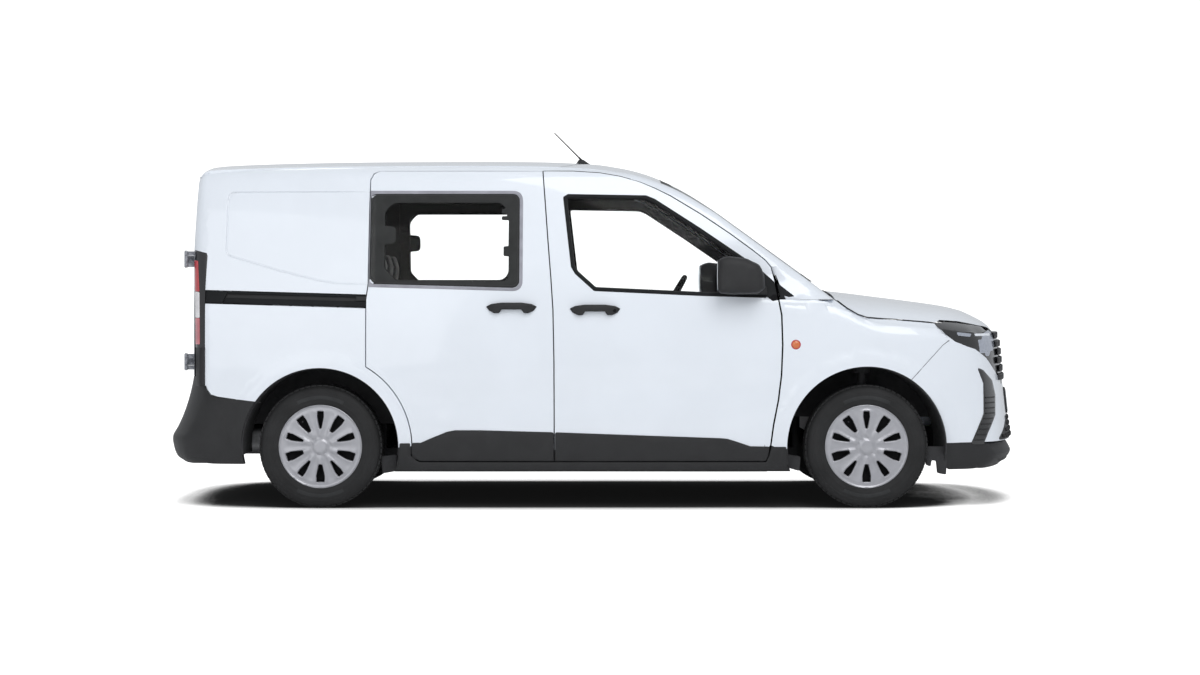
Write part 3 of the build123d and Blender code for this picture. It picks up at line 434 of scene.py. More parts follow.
def make_metal(name, color, rough, share=0.1, metal=1.0, coat=0.0, scale=60):
    material = finish(name, color, rough, metal=metal, coat=coat)
    vary_color(material, texture(material, "Noise", scale), color, share)
    grain = texture(material, "Noise", scale * 8)
    vary_rough(material, grain, rough - 0.05, rough + 0.1)
    bumps(material, grain, 0.08, 0.0002)
    return material


def make_glass(name, color, rough=0.0, ior=1.45):
    material = finish(name, color, rough, transmission=1.0, ior=ior)
    vary_color(material, texture(material, "Noise", 2), color, 0.006, 0.4, 0.6)
    return material


def make_fabric(name, color):
    """Woven cloth: crossing threads with a soft sheen."""
    material = finish(name, color, 0.9, sheen=0.3)
    threads = {k: texture(material, "Wave", 210, way, 0.0) for k, way in enumerate(((1, 0, 1), (0, 1, 0.6)))}
    weave = wired(material.node_tree, "ShaderNodeMath", threads, operation="MAXIMUM").outputs[0]
    vary_color(material, weave, color, 0.35, 0.2, 0.9)
    bumps(material, weave, 0.5, 0.0006)
    return material


def make_tyre(name, color):
    material = finish(name, color, 0.72, ior=1.4)
    vary_color(material, texture(material, "Noise", 9), color, 0.25, 0.3, 0.7)
    grain = texture(material, "Noise", 600)
    vary_rough(material, grain, 0.6, 0.85)
    bumps(material, grain, 0.15, 0.0003)
    return material


PAINT = make_paint()
CLADDING = grained("dark_plastic", (0.013, 0.013, 0.014), 0.55)
BUMPER_PLASTIC = grained("bumper_plastic", (0.012, 0.012, 0.013), 0.52)
GLOSS_BLACK = grained("gloss_black", (0.012, 0.012, 0.013), 0.16, strength=0.02, coat=0.6)
FRIT = grained("window_border", (0.029, 0.030, 0.030), 0.4, strength=0.03, ior=1.25)
FRAME_BLACK = grained("window_frame", (0.010, 0.011, 0.012), 0.5, strength=0.08, ior=1.25)
GREY_TRIM = grained("grey_trim", (0.30, 0.30, 0.34), 0.4, strength=0.05)
SEAL = grained("rubber_seal", (0.016, 0.016, 0.017), 0.6, scale=500)
TRIM = grained("interior_plastic", (0.014, 0.014, 0.015), 0.85, ior=1.1)
TRIM_LIGHT = grained("headlining", (0.022, 0.022, 0.023), 0.95, scale=600, strength=0.4, ior=1.02)
CARPET = grained("floor_carpet", (0.020, 0.020, 0.021), 0.95, scale=420, strength=0.8, height=0.001)
LINER_MAT = grained("arch_liner", (0.034, 0.034, 0.036), 0.85, scale=300, strength=0.6, height=0.001)
CHASSIS = grained("chassis_black", (0.010, 0.010, 0.011), 0.7, ior=1.2)
DARK_STEEL = make_metal("forged_steel", (0.030, 0.030, 0.032), 0.6, metal=0.2)
STEEL = make_metal("bare_metal", (0.20, 0.20, 0.205), 0.45)
SILVER = make_metal("cover_silver", (0.40, 0.40, 0.425), 0.33, share=0.03, metal=0.55, coat=0.5, scale=30)
CHROME = make_metal("bright_metal", (0.78, 0.78, 0.80), 0.12, share=0.02)
GALVANISED = make_metal("hinge_steel", (0.30, 0.31, 0.34), 0.5, metal=0.3)
MIRROR_GLASS = make_metal("mirror_glass", (0.62, 0.65, 0.68), 0.03, share=0.01, scale=5)
REFLECTOR = make_metal("lamp_reflector", (0.50, 0.53, 0.60), 0.22, share=0.05, metal=0.8)
WINDOW = make_glass("window_glass", (0.975, 0.985, 0.985), ior=1.16)
SHADE_GLASS = make_glass("shade_band", (0.70, 0.68, 0.76), ior=1.16)
LAMP_GLASS = make_glass("lamp_glass", (0.93, 0.94, 0.96), 0.02)
RIBBED = {"strength": 0.5, "height": 0.001}
RED_LENS = grained("red_lens", (0.50, 0.035, 0.045), 0.15, scale=160, coat=0.8, **RIBBED)
PALE_LENS = grained("white_lens", (0.74, 0.72, 0.73), 0.15, scale=160, coat=0.8, **RIBBED)
PINK_LENS = grained("rose_lens", (0.55, 0.16, 0.18), 0.15, scale=160, coat=0.8, **RIBBED)
ORANGE_LENS = grained("orange_lens", (0.70, 0.16, 0.03), 0.12, scale=200, coat=1.0, **RIBBED)
LIGHT_BAR = grained("light_bar", (0.80, 0.83, 0.88), 0.25, scale=300, strength=0.1)
PLATE = grained("blank_plate", (0.62, 0.63, 0.64), 0.3, strength=0.05)
TYRE = make_tyre("tyre_rubber", (0.016, 0.016, 0.0165))
TYRE_BAND = make_tyre("tyre_sidewall_band", (0.027, 0.028, 0.029))
FABRIC = make_fabric("seat_fabric", (0.032, 0.033, 0.036))


# ---- stage -----------------------------------------------------------------
def seen_rays(tree):
    """1 where the camera looks, straight or through glass, and 0 for light that bounces."""
    paths = wired(tree, "ShaderNodeLightPath").outputs
    rays = {0: paths["Is Camera Ray"], 1: paths["Is Transmission Ray"]}
    return wired(tree, "ShaderNodeMath", rays, operation="MAXIMUM").outputs[0]


def make_world():
    world = bpy.data.worlds.new("studio")
    bpy.context.scene.world = world
    world.use_nodes = True
    tree = world.node_tree
    tree.nodes.clear()
    lit = wired(tree, "ShaderNodeBackground", {"Color": (0.93, 0.96, 1.0, 1), "Strength": 0.62})
    seen = wired(tree, "ShaderNodeBackground", {"Color": (1, 1, 1, 1), "Strength": 1.3})
    mix = wired(tree, "ShaderNodeMixShader", {0: seen_rays(tree), 1: lit.outputs[0], 2: seen.outputs[0]})
    wired(tree, "ShaderNodeOutputWorld", {"Surface": mix.outputs[0]})


def make_floor():
    """A pale floor that the camera sees as white, with a painted shadow where the van stands: its glow is
    dimmed by ambient occlusion.
    """
    bpy.ops.mesh.primitive_plane_add(size=120)
    floor = bpy.context.object
    floor.name = "studio_floor"
    surface = bpy.data.materials.new("studio_floor")
    surface.use_nodes = True
    tree = surface.node_tree
    shader = tree.nodes["Principled BSDF"]
    pale = {"Base Color": (0.92, 0.92, 0.92, 1), "Roughness": 0.9, "Specular IOR Level": 0}
    for key, value in pale.items():
        shader.inputs[key].default_value = value
    rays = seen_rays(tree)
    # Painted shadow: the glow the camera sees fades to near black where ambient occlusion finds the van close
    # above.
    shadow_occlusion = wired(tree, "ShaderNodeAmbientOcclusion", {"Distance": 0.9}, samples=32).outputs["AO"]
    limits = {"Value": shadow_occlusion, "From Min": 0.40, "From Max": 0.66, "To Min": 0.0045, "To Max": 1.3}
    bright = wired(tree, "ShaderNodeMapRange", limits).outputs[0]
    strength = wired(tree, "ShaderNodeMath", {0: bright, 1: rays}, operation="MULTIPLY").outputs[0]
    painted_shadow_glow = wired(tree, "ShaderNodeEmission", {"Strength": strength}).outputs[0]
    dull = wired(tree, "ShaderNodeBsdfDiffuse", {"Color": (0.05, 0.05, 0.05, 1)}).outputs[0]
    total = wired(tree, "ShaderNodeAddShader", {0: dull, 1: painted_shadow_glow}).outputs[0]
    mix = wired(tree, "ShaderNodeMixShader", {0: rays, 1: shader.outputs[0], 2: total})
    tree.links.new(mix.outputs[0], tree.nodes["Material Output"].inputs["Surface"])
    floor.data.materials.append(surface)


def make_lamps():
    for name, place, size, power in (
        ("key_lamp", (2.5, -7.0, 7.5), 6.0, 330),
        ("rear_lamp", (-5.0, 5.0, 6.5), 5.0, 200),
        ("side_lamp", (-3.5, -8.5, 3.0), 5.0, 75),
    ):
        lamp = bpy.data.lights.new(name, "AREA")
        lamp.size = size
        lamp.energy = power
        obj = link(name, lamp)
        obj.location = place
        obj.rotation_euler = (Vector((0, 0, 0.9)) - Vector(place)).to_track_quat("-Z", "Y").to_euler()


def make_camera():
    camera = bpy.data.cameras.new("camera")
    camera.lens = 69.49
    camera.sensor_width = 36
    camera.shift_x = 0.00558
    camera.shift_y = -0.03125
    camera.clip_end = 200
    obj = link("camera", camera)
    obj.location = (-0.0085, -12.275, 1.025)
    obj.rotation_euler = (math.radians(90), 0, 0)
    bpy.context.scene.camera = obj
    bpy.context.scene.view_settings.view_transform = "Standard"


make_world()
make_floor()
make_lamps()
make_camera()


# ---- plates cut to an outline and laid on a skin ---------------------------
ROUND_CORNER = 0.29  # how far the middle of a rim's rounding lies inside its corner, as a share of its radius
CLEAR_OF_RIM = 0.45  # how near a plate's inner points may come to its rim, as a share of their step


def box(u0, v0, u1, v1):
    return [(u0, v0), (u1, v0), (u1, v1), (u0, v1)]


def circle(u, v, radius, count):
    turns = (2 * math.pi * k / count for k in range(count))
    return [(u + radius * math.cos(t), v + radius * math.sin(t)) for t in turns]


def signed_area(outline):
    u, v = np.asarray(outline, float).T
    return 0.5 * np.sum(u * np.roll(v, -1) - np.roll(u, -1) * v)


def resample(outline, step):
    """The outline with no run longer than the step."""
    out = []
    for a, b in zip(outline, outline[1:] + outline[:1]):
        a, b = np.array(a, float), np.array(b, float)
        count = max(1, math.ceil(np.linalg.norm(b - a) / step))
        out += [tuple(a + (b - a) * k / count) for k in range(count)]
    return out


def dense(line, step):
    """An open line with no run longer than the step, as an array."""
    runs = [resample(list(pair), step) for pair in zip(line, line[1:])]
    return np.array([p for run in runs for p in run[:len(run) // 2]] + [line[-1]], float)


def rounded(outline, radius, parts=5):
    """The outline with its corners rounded; a corner may give its own radius as a third number."""
    out = []
    count = len(outline)
    for k, corner in enumerate(outline):
        r = corner[2] if len(corner) > 2 else radius
        p = np.array(corner[:2], float)
        a = np.array(outline[k - 1][:2], float) - p
        b = np.array(outline[(k + 1) % count][:2], float) - p
        la, lb = np.linalg.norm(a), np.linalg.norm(b)
        a, b = a / la, b / lb
        turn = math.acos(max(-1, min(1, float(a @ b))))
        back = min(r / max(math.tan(turn / 2), 1e-3), la * 0.48, lb * 0.48)
        if r <= 0 or back < 0.5:
            out.append(tuple(p))
            continue
        for t in (i / parts for i in range(parts + 1)):
            out.append(tuple((1 - t) ** 2 * (p + a * back) + 2 * t * (1 - t) * p + t * t * (p + b * back)))
    return out


def offset(outline, amount):
    """The outline moved outwards by an amount, or inwards if it is negative."""
    pts = np.array(outline, float)
    way = np.roll(pts, -1, 0) - pts
    way /= np.maximum(np.linalg.norm(way, axis=1), 1e-9)[:, None]
    out = np.stack([way[:, 1], -way[:, 0]], 1) * (1 if signed_area(pts) > 0 else -1)
    bisector = out + np.roll(out, 1, 0)
    bisector /= np.maximum((bisector * out).sum(1), 0.3)[:, None]
    return [tuple(p) for p in pts + bisector * amount]


# A skin gives the points in space for an array of flat places.
def side_skin(side, lift=0.0, plain=False):
    """The van's side, from X and Z."""
    def at(uv):
        x, z = uv.T
        y = side_y(x, z) + (0 if plain else pressed(x, z))
        return np.stack([x, side * (y + lift), z], 1)
    return at


def flat_side(side, y):
    return lambda uv: np.stack([uv[:, 0], np.full(len(uv), float(side * y)), uv[:, 1]], 1)


def end_skin(line, lift=0.0):
    """The nose, tail or bumper, from Y and Z."""
    sign = 1 if line is nose_x else -1
    return lambda uv: np.stack([line(uv[:, 0], uv[:, 1]) + sign * lift, uv[:, 0], uv[:, 1]], 1)


def roof_skin(lift):
    return lambda uv: np.stack([uv[:, 0], uv[:, 1], roof_z(uv[:, 0], uv[:, 1]) + lift], 1)


def facing_skin(x):
    """A plane across the cabin, from Y and Z."""
    return lambda uv: np.stack([np.full(len(uv), float(x)), uv[:, 0], uv[:, 1]], 1)


def at_place(skin, u, v):
    """One point of a height function as a plain number."""
    return float(skin(np.array([float(u)]), np.array([float(v)]))[0])


def sheet_net(loops, step):
    """Points and faces that fill an outline with holes; the rim's points come first."""
    rim = [p for loop in loops for p in loop]
    low, high = np.min(rim, 0), np.max(rim, 0)
    grid = np.array([
        (u, v)
        for u in np.arange(low[0] + step / 2, high[0], step)
        for v in np.arange(low[1] + step / 2, high[1], step)
    ]).reshape(-1, 2)

    def within(points):
        return np.logical_and.reduce(
            [inside(loops[0], points)] + [~inside(hole, points) for hole in loops[1:]]
        )

    keep = within(grid)
    for loop in loops:
        keep &= edge_distance(loop, grid) > step * CLEAR_OF_RIM
    points = np.array(rim + [tuple(p) for p in grid[keep]])
    edges, base = [], 0
    for loop in loops:
        edges += [(base + i, base + (i + 1) % len(loop)) for i in range(len(loop))]
        base += len(loop)
    made = geometry.delaunay_2d_cdt([Vector(p) for p in points], edges, [], 0, 1e-4)
    faces = [[made[3][k][0] for k in f] for f in made[2]]
    good = within(np.array([points[f].mean(0) for f in faces]))
    return points, [f for f, ok in zip(faces, good) if ok]


def away_from_van(top, normal):
    """The way out for a sheet that names none: sideways, along the van, or up."""
    for axis in (1, 0):
        if abs(normal[:, axis]).mean() > 0.6:
            return np.eye(3)[axis] * math.copysign(1, top.mean(0)[axis])
    return np.eye(3)[2]


def plate(name, outline, at, body, material, thick=4.0, edge=1.5, step=30.0, holes=(), outward=None):
    """A closed sheet with a rounded rim, cut to an outline and laid on a skin. Sizes are in millimetres."""
    loops = [resample(list(loop), step) for loop in (outline, *holes)]
    points, faces = sheet_net(loops, step)
    top = at(points)
    du = at(points + [0.5, 0]) - at(points - [0.5, 0])
    dv = at(points + [0, 0.5]) - at(points - [0, 0.5])
    normal = np.cross(du, dv)
    normal /= np.linalg.norm(normal, axis=1)[:, None]
    handed = 1
    if (normal @ np.array(away_from_van(top, normal) if outward is None else outward, float)).mean() < 0:
        normal = -normal
        handed = -1
    verts, rings, base = list(top), [[], [], []], 0
    for number, loop in enumerate(loops):
        rim = slice(base, base + len(loop))
        p, up = top[rim], normal[rim]
        tangent = np.roll(p, -1, 0) - np.roll(p, 1, 0)
        tangent /= np.maximum(np.linalg.norm(tangent, axis=1), 1e-9)[:, None]
        out = np.cross(tangent, up) * (1 if signed_area(loop) * handed > 0 else -1) * (-1 if number else 1)
        verts[rim] = p - out * edge
        rings[0] += list(p - (out + up) * edge * ROUND_CORNER)
        rings[1] += list(p - up * edge)
        rings[2] += list(p - up * thick)
        base += len(loop)
    count, rim_count = len(points), base
    verts += rings[0] + rings[1] + rings[2] + list(top[rim_count:] - normal[rim_count:] * thick)
    below = count + 2 * rim_count
    polygons = faces + [[below + k for k in reversed(f)] for f in faces]
    base = 0
    for n in map(len, loops):
        starts = [base] + [count + r * rim_count + base for r in range(3)]
        for a, b in zip(starts, starts[1:]):
            polygons += [[a + i, a + (i + 1) % n, b + (i + 1) % n, b + i] for i in range(n)]
        base += n
    bm = bmesh.new()
    made = [bm.verts.new(v * MM) for v in verts]
    for polygon in polygons:
        bm.faces.new([made[k] for k in polygon])
    return from_bmesh(name, bm, body, material, 50)


def both(*builders):
    """Calls each builder for the left and the right side."""
    for build in builders:
        build(LEFT, "left")
        build(RIGHT, "right")


def from_bmesh(name, bm, body, materials, degrees=40):
    bmesh.ops.recalc_face_normals(bm, faces=bm.faces)
    mesh = bpy.data.meshes.new(name)
    bm.to_mesh(mesh)
    bm.free()
    shade(mesh, degrees)
    return new_object(name, mesh, body, materials)


def stitch(bm, rows, closed=False):
    """Quads between rows of vertices, each row a closed ring."""
    n = len(rows[0])
    for a, b in zip(rows, rows[1:] + (rows[:1] if closed else [])):
        for i in range(n):
            bm.faces.new((a[i], a[(i + 1) % n], b[(i + 1) % n], b[i]))


def turned(name, profile, x, side, body, material, steps):
    """A shape turned about a wheel's axle: the profile is radius and distance outwards."""
    bm = bmesh.new()
    stitch(bm, [
        [bm.verts.new(Vector((u, side * (WHEEL_Y + w), v)) * MM) for u, v in circle(x, AXLE_Z, r, steps)]
        for r, w in profile
    ], True)
    return from_bmesh(name, bm, body, material, 30)


def loft(rows, pointed=True):
    """A closed skin through rows of points, each row a closed ring; its ends are fans or single faces."""
    bm = bmesh.new()
    made = [[bm.verts.new(Vector(p) * MM) for p in row] for row in rows]
    n = len(made[0])
    stitch(bm, made)
    if not pointed:
        bm.faces.new(made[0])
        bm.faces.new(made[-1][::-1])
        return bm
    for row in (made[0], made[-1]):
        mid = bm.verts.new(sum((v.co for v in row), Vector()) / n)
        for i in range(n):
            bm.faces.new((row[i], row[(i + 1) % n], mid))
    return bm


def tube(bm, path, radius, sides=12, closed=False):
    """A round bar along a path, added to a mesh; radius may be one number or one for each point."""
    pts = [Vector(p) * MM for p in path]
    radii = radius if isinstance(radius, (list, tuple)) else [radius] * len(pts)
    rows = []
    up = Vector((0.13, 0.2, 0.97))
    for k, p in enumerate(pts):
        a = pts[(k - 1) % len(pts)] if closed or k else p
        b = pts[(k + 1) % len(pts)] if closed or k < len(pts) - 1 else p
        way = (b - a).normalized()
        first = way.cross(up).normalized()
        up = first.cross(way).normalized()
        rows.append([
            bm.verts.new(p + (first * math.cos(t) + up * math.sin(t)) * radii[k] * MM)
            for t in (2 * math.pi * i / sides for i in range(sides))
        ])
    stitch(bm, rows, closed)
    if not closed:
        bm.faces.new(rows[0])
        bm.faces.new(rows[-1][::-1])


def block(bm, low, high, rounding, segments=3):
    made = bmesh.ops.create_cube(bm, size=1.0)["verts"]
    low, high = Vector(low) * MM, Vector(high) * MM
    for v in made:
        v.co = Vector(((low + high)[i] / 2 + v.co[i] * (high - low)[i] for i in range(3)))
    edges = list({e for v in made for e in v.link_edges})
    bmesh.ops.bevel(bm, geom=edges, offset=rounding * MM, segments=segments, profile=0.5,
                    affect="EDGES", clamp_overlap=True)


def solid(name, body, material, blocks=(), tubes=()):
    """One piece made of rounded blocks and round bars."""
    bm = bmesh.new()
    for given in blocks:
        block(bm, *given)
    for given in tubes:
        tube(bm, *given)
    return from_bmesh(name, bm, body, material)


def small_mesh(name, low, high, rounding, segments, lean=0.0):
    """A rounded block for copying; lean shears it along its length."""
    bm = bmesh.new()
    block(bm, low, high, rounding, segments)
    for v in bm.verts:
        v.co.x += v.co.y * lean
    mesh = bpy.data.meshes.new(name)
    bm.to_mesh(mesh)
    bm.free()
    return mesh


def repeated(name, source, places, body, material, turns):
    """Copies of one small mesh at many places, made with Geometry Nodes and realised as one mesh."""
    mesh = bpy.data.meshes.new(name + "_places")
    mesh.from_pydata([tuple(Vector(p) * MM) for p in places], [], [])
    spin = mesh.attributes.new("turn", "FLOAT_VECTOR", "POINT")
    spin.data.foreach_set("vector", np.array(turns, float).ravel())
    points, item = link(name + "_places", mesh), link(name + "_item", source)
    tree = bpy.data.node_groups.new(name, "GeometryNodeTree")
    for socket, way, kind in (
        ("Geometry", "INPUT", "Geometry"), ("Item", "INPUT", "Object"), ("Geometry", "OUTPUT", "Geometry"),
    ):
        tree.interface.new_socket(socket, in_out=way, socket_type="NodeSocket" + kind)
    start = wired(tree, "NodeGroupInput").outputs
    info = wired(tree, "GeometryNodeObjectInfo", {"Object": start["Item"]})
    turn = wired(tree, "GeometryNodeInputNamedAttribute", {"Name": "turn"}, data_type="FLOAT_VECTOR")
    placed = {"Points": start["Geometry"], "Instance": info.outputs["Geometry"],
              "Rotation": turn.outputs["Attribute"]}
    copies = wired(tree, "GeometryNodeInstanceOnPoints", placed)
    real = wired(tree, "GeometryNodeRealizeInstances", {0: copies.outputs[0]})
    coat = wired(tree, "GeometryNodeSetMaterial", {"Geometry": real.outputs[0], "Material": material})
    wired(tree, "NodeGroupOutput", {0: coat.outputs[0]})
    modifier = points.modifiers.new(name, "NODES")
    modifier.node_group = tree
    sockets = {s.name: s.identifier for s in tree.interface.items_tree if s.in_out == "INPUT"}
    modifier[sockets["Item"]] = item
    bpy.context.view_layer.update()
    evaluated = points.evaluated_get(bpy.context.evaluated_depsgraph_get())
    result = bpy.data.meshes.new_from_object(evaluated)
    result.name = name
    bpy.data.objects.remove(points)
    bpy.data.objects.remove(item)
    shade(result, 40)
    return new_object(name, result, body, material)


# ---- painted panels, glass and the plain pieces ------------------------------
# Places in a panel's list of materials, and the height below which the sides get painted shade: a dark
# material in seams, arch lips and by the door rail.
CABIN_FACE, PAINTED_SHADE_FACE, HINGE_FACE = 1, 2, 3
PAINTED_SHADE_BELOW = 300
ARCH_LIP = 14


def coated(material, *nodes):
    """Gives CAD pieces one material each."""
    for node in nodes:
        obj = NODES[node]
        obj.data.materials.clear()
        obj.data.materials.append(material)


def near_arch(centre):
    """Whether a place belongs to the lip of a wheel arch, which is given painted shade."""
    front = math.hypot(centre[0] - FRONT_AXLE_X, centre[2] - AXLE_Z) - FRONT_ARCH
    rear = math.hypot(centre[0] - REAR_AXLE_X, centre[2] - AXLE_Z) - REAR_ARCH
    return min(front, rear) < ARCH_LIP


def shut_face(depth, low=0.0, window=()):
    """Picks a hidden face's material: cabin trim deep inside, metal on rear hinges, and dark plastic as
    painted shade on low edges, arch lips and by the door rail.
    """
    def pick(centre, normal):
        x, y, z = centre
        if x < -1960 and x < at_place(tail_x, y, z) - 6:
            return HINGE_FACE
        if abs(y) < at_place(side_y, x, z) - depth or (window and inside(window, [(x, z)])[0]):
            return CABIN_FACE
        return PAINTED_SHADE_FACE if z < low or near_arch(centre) or (x < -1100 and 1000 < z < 1060) else 0
    return pick


def rear_door_face(centre, normal):
    x, y, z = centre
    tail = at_place(tail_x, y, z)
    return 2 if x < tail - 3 else CABIN_FACE if x > tail + 26 else 0


def make_panels():
    for word in ("left", "right"):
        # Low outer faces and hidden faces in seams, arch lips and by the door rail take dark plastic as
        # painted shade.
        smooth_panel(f"body_side_{word}", ["pressed", "roof", "tail"], "body",
                     [PAINT, TRIM, CLADDING, GALVANISED],
                     radius=45, pocket=True, inner=shut_face(48, 335),
                     outer=lambda c: PAINTED_SHADE_FACE * (c[2] < PAINTED_SHADE_BELOW))
        # The wing's arch lip and its low rear faces are dark plastic as painted shade.
        smooth_panel(f"front_wing_{word}", ["pressed", "bonnet"], "body", [PAINT, CLADDING], radius=60,
                     inner=lambda c, n: near_arch(c) or (c[0] < 960 and c[2] < 320),
                     outer=lambda c: c[0] < 960 and c[2] < PAINTED_SHADE_BELOW)
        smooth_panel(f"front_door_{word}", ["pressed"], f"front_door_{word}", [PAINT, TRIM, CLADDING],
                     inner=shut_face(26, 345, offset(FRONT_WINDOW, 2)),
                     outer=lambda c: PAINTED_SHADE_FACE * (c[2] < PAINTED_SHADE_BELOW))
        smooth_panel(f"sliding_door_{word}", ["pressed"], "body", [PAINT, TRIM, CLADDING],
                     inner=shut_face(26, 380, box(-1125, 1070, -350, 1570)),
                     outer=lambda c: PAINTED_SHADE_FACE * (c[2] < PAINTED_SHADE_BELOW or (c[0] < -1128 and 1010 < c[2] < 1050)))
        smooth_panel(f"rear_door_{word}", ["tail"], f"rear_door_{word}", [PAINT, TRIM, GALVANISED],
                     inner=rear_door_face)
        smooth_panel(f"front_door_glass_{word}", ["side"], f"front_door_{word}", [WINDOW], depths=(12, 17))
        smooth_panel(f"rear_door_glass_{word}", ["tail"], f"rear_door_{word}", [WINDOW], depths=(0, 5))
    smooth_panel("roof", ["roof", "tail"], "body", [PAINT, TRIM_LIGHT], radius=60,
                 inner=lambda c, n: n.z < -0.6)
    smooth_panel("bonnet", ["bonnet", "nose"], "bonnet", [PAINT], radius=40)
    # The bumper's arch lip is dark plastic as painted shade.
    smooth_panel("front_bumper", ["nose", "pressed", "bonnet"], "body", [PAINT, CLADDING], radius=50,
                 within=4, inner=lambda c, n: near_arch(c))
    smooth_panel("front_spoiler", ["lip", "pressed"], "body", [BUMPER_PLASTIC], radius=30, within=4)
    smooth_panel("rear_bumper", ["bumper", "pressed"], "body", [BUMPER_PLASTIC], radius=50, within=4)
    smooth_panel("windscreen", ["roof"], "body", [WINDOW], depths=(1, 6))
    smooth_panel("sliding_door_glass", ["side"], "body", [WINDOW], depths=(0, 5))


make_panels()
coated(CLADDING, "cowl_panel", "door_tracks", "mirror_left", "mirror_right", "roof_antenna",
       "front_door_handle_left", "front_door_handle_right", "sliding_door_handles")
coated(LINER_MAT, "wheel_arch_liners")
coated(CARPET, "firewall", "floor_pan")
coated(GLOSS_BLACK, "grille")
coated(LAMP_GLASS, "headlamp_left", "headlamp_right")
coated(RED_LENS, "tail_lamp_left", "tail_lamp_right")
coated(TRIM, "dashboard", "steering_wheel")
coated(FABRIC, "front_seats", "rear_bench")
coated(TYRE, "tyre_front_left", "tyre_front_right", "tyre_rear_left", "tyre_rear_right")
coated(DARK_STEEL, "knuckle_left", "knuckle_right")
coated(STEEL, "engine_block", "exhaust")
coated(CHASSIS, "front_subframe", "rear_axle", "fuel_tank", "wheel_front_left", "wheel_front_right",
       "wheel_rear_left", "wheel_rear_right")


# ---- wheels ------------------------------------------------------------------
COVER_R, WHEEL_Y, TREAD_R = 207, 776, 296.5
SPOKE_STEP, WIDE_FROM = 36, 54
TREAD_COUNT = 64
STEEL_DISC = [(172, 52), (172, 44), (120, 34), (60, 52), (30, 52), (30, 60), (60, 60), (118, 44), (160, 54)]
TYRE_PROFILE = [
    (197, 70), (200, 80), (207, 88), (216, 91.5), (228, 92.5), (231, 93.6), (234, 92.6), (250, 93.8),
    (262, 93), (264, 92.2), (266, 92.9), (281, 88.5), (290, 80), (294, 72), (296.5, 60),
    (297, 30), (297, -30), (296.5, -60), (294, -72), (290, -80), (281, -88.5), (262, -93),
    (234, -93), (207, -88), (197, -78), (190, -70), (190, 62),
]


def cover_opening(degrees, inner, outer):
    """One slot of the wheel cover, pointing away from the centre."""
    far = 168 + 0.5 * outer
    corners = [(88, -inner, 7), (88, inner, 7), (148, outer, 40), (far, outer * 0.92, 9),
               (far, -outer * 0.92, 9), (148, -outer, 40)]
    c, s = math.cos(math.radians(degrees)), math.sin(math.radians(degrees))
    return rounded([(u * c - v * s, u * s + v * c, r) for u, v, r in corners], 6, 3)


def cover_skin(x, side):
    def at(uv):
        r = np.hypot(uv[:, 0], uv[:, 1])
        angle = np.arctan2(uv[:, 1], uv[:, 0])
        dish = 3.5 * ease((r - 176) / 12) * (1 - ease((r - 196) / 8)) - 3 * ease((r - 200) / 7)
        wave = np.cos(10 * (angle - math.radians(18)))
        spoke = 4.5 * wave * ease((r - 42) / 22) * (1 - ease((r - 165) / 20)) - 2.5 * ease((r - 42) / 40)
        hub = 4 * (1 - ease((r - 32) / 6)) - 5 * ease((r - 35) / 5) * (1 - ease((r - 42) / 20))
        crown = 4 * (1 - (r / COVER_R) ** 2)
        y = WHEEL_Y + 87 + crown + hub - dish + spoke
        return np.stack([uv[:, 0] + x, side * y, uv[:, 1] + AXLE_Z], 1)
    return at


def make_wheel(x, side, axle, word):
    body = f"wheel_{axle}_{word}"
    holes = []
    for k in range(10):
        degrees = WIDE_FROM + SPOKE_STEP * k
        inner, outer = (8, 18) if k % 2 else (12, 23)
        holes.append(cover_opening(180 - degrees if side == LEFT else degrees, inner, outer))
    plate(f"{body}_cover", circle(0, 0, COVER_R, 96), cover_skin(x, side), body, SILVER,
          thick=12, edge=4, step=9, holes=holes)
    turned(f"{body}_steel_disc", STEEL_DISC, x, side, body, CHASSIS, 96)
    tyre = turned(f"{body}_tyre", TYRE_PROFILE, x, side, body, TYRE, 120)
    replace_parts(tyre, f"tyre_{axle}_{word}")
    make_tread(x, side, body)
    wall = flat_side(side, WHEEL_Y + 94)
    for start in (62, 242):
        arc = [(r * math.cos(math.radians(a)), r * math.sin(math.radians(a)))
               for r, way in ((251, 1), (233, -1)) for a in range(start, start + 57, 4)[::way]]
        plate(f"{body}_sidewall_band_{start}", arc, lambda uv: wall(uv) + [x, 0, AXLE_Z], body, TYRE_BAND,
              thick=2.5, edge=0.8, step=14)
    a = math.radians(WIDE_FROM + SPOKE_STEP * 2 + (90 if side == LEFT else 0))
    vx, vz = x + 150 * math.cos(a), AXLE_Z + 150 * math.sin(a)
    stem = [(vx, side * (WHEEL_Y + w), vz) for w in (60, 84)]
    solid(f"{body}_valve", body, SEAL, tubes=[(stem, 3.5)])


def make_tread(x, side, body):
    """Four ribs of blocks round the tyre, with grooves between them."""
    for rib, (y, half) in enumerate(((-52, 17), (-17, 14), (17, 14), (52, 17))):
        turns = [2 * math.pi * (k + 0.5 * (rib % 2)) / TREAD_COUNT for k in range(TREAD_COUNT)]
        places = [(x + TREAD_R * math.cos(a), side * WHEEL_Y + y, AXLE_Z + TREAD_R * math.sin(a))
                  for a in turns]
        item = small_mesh("tread_block", (-12.5, -half, -2), (12.5, half, 6.2), 1.2, 2, 0.35)
        repeated(f"{body}_tread_{rib}", item, places, body, TYRE, [(0, math.pi / 2 - a, 0) for a in turns])


for axle, x in (("front", FRONT_AXLE_X), ("rear", REAR_AXLE_X)):
    both(lambda side, word: make_wheel(x, side, axle, word))


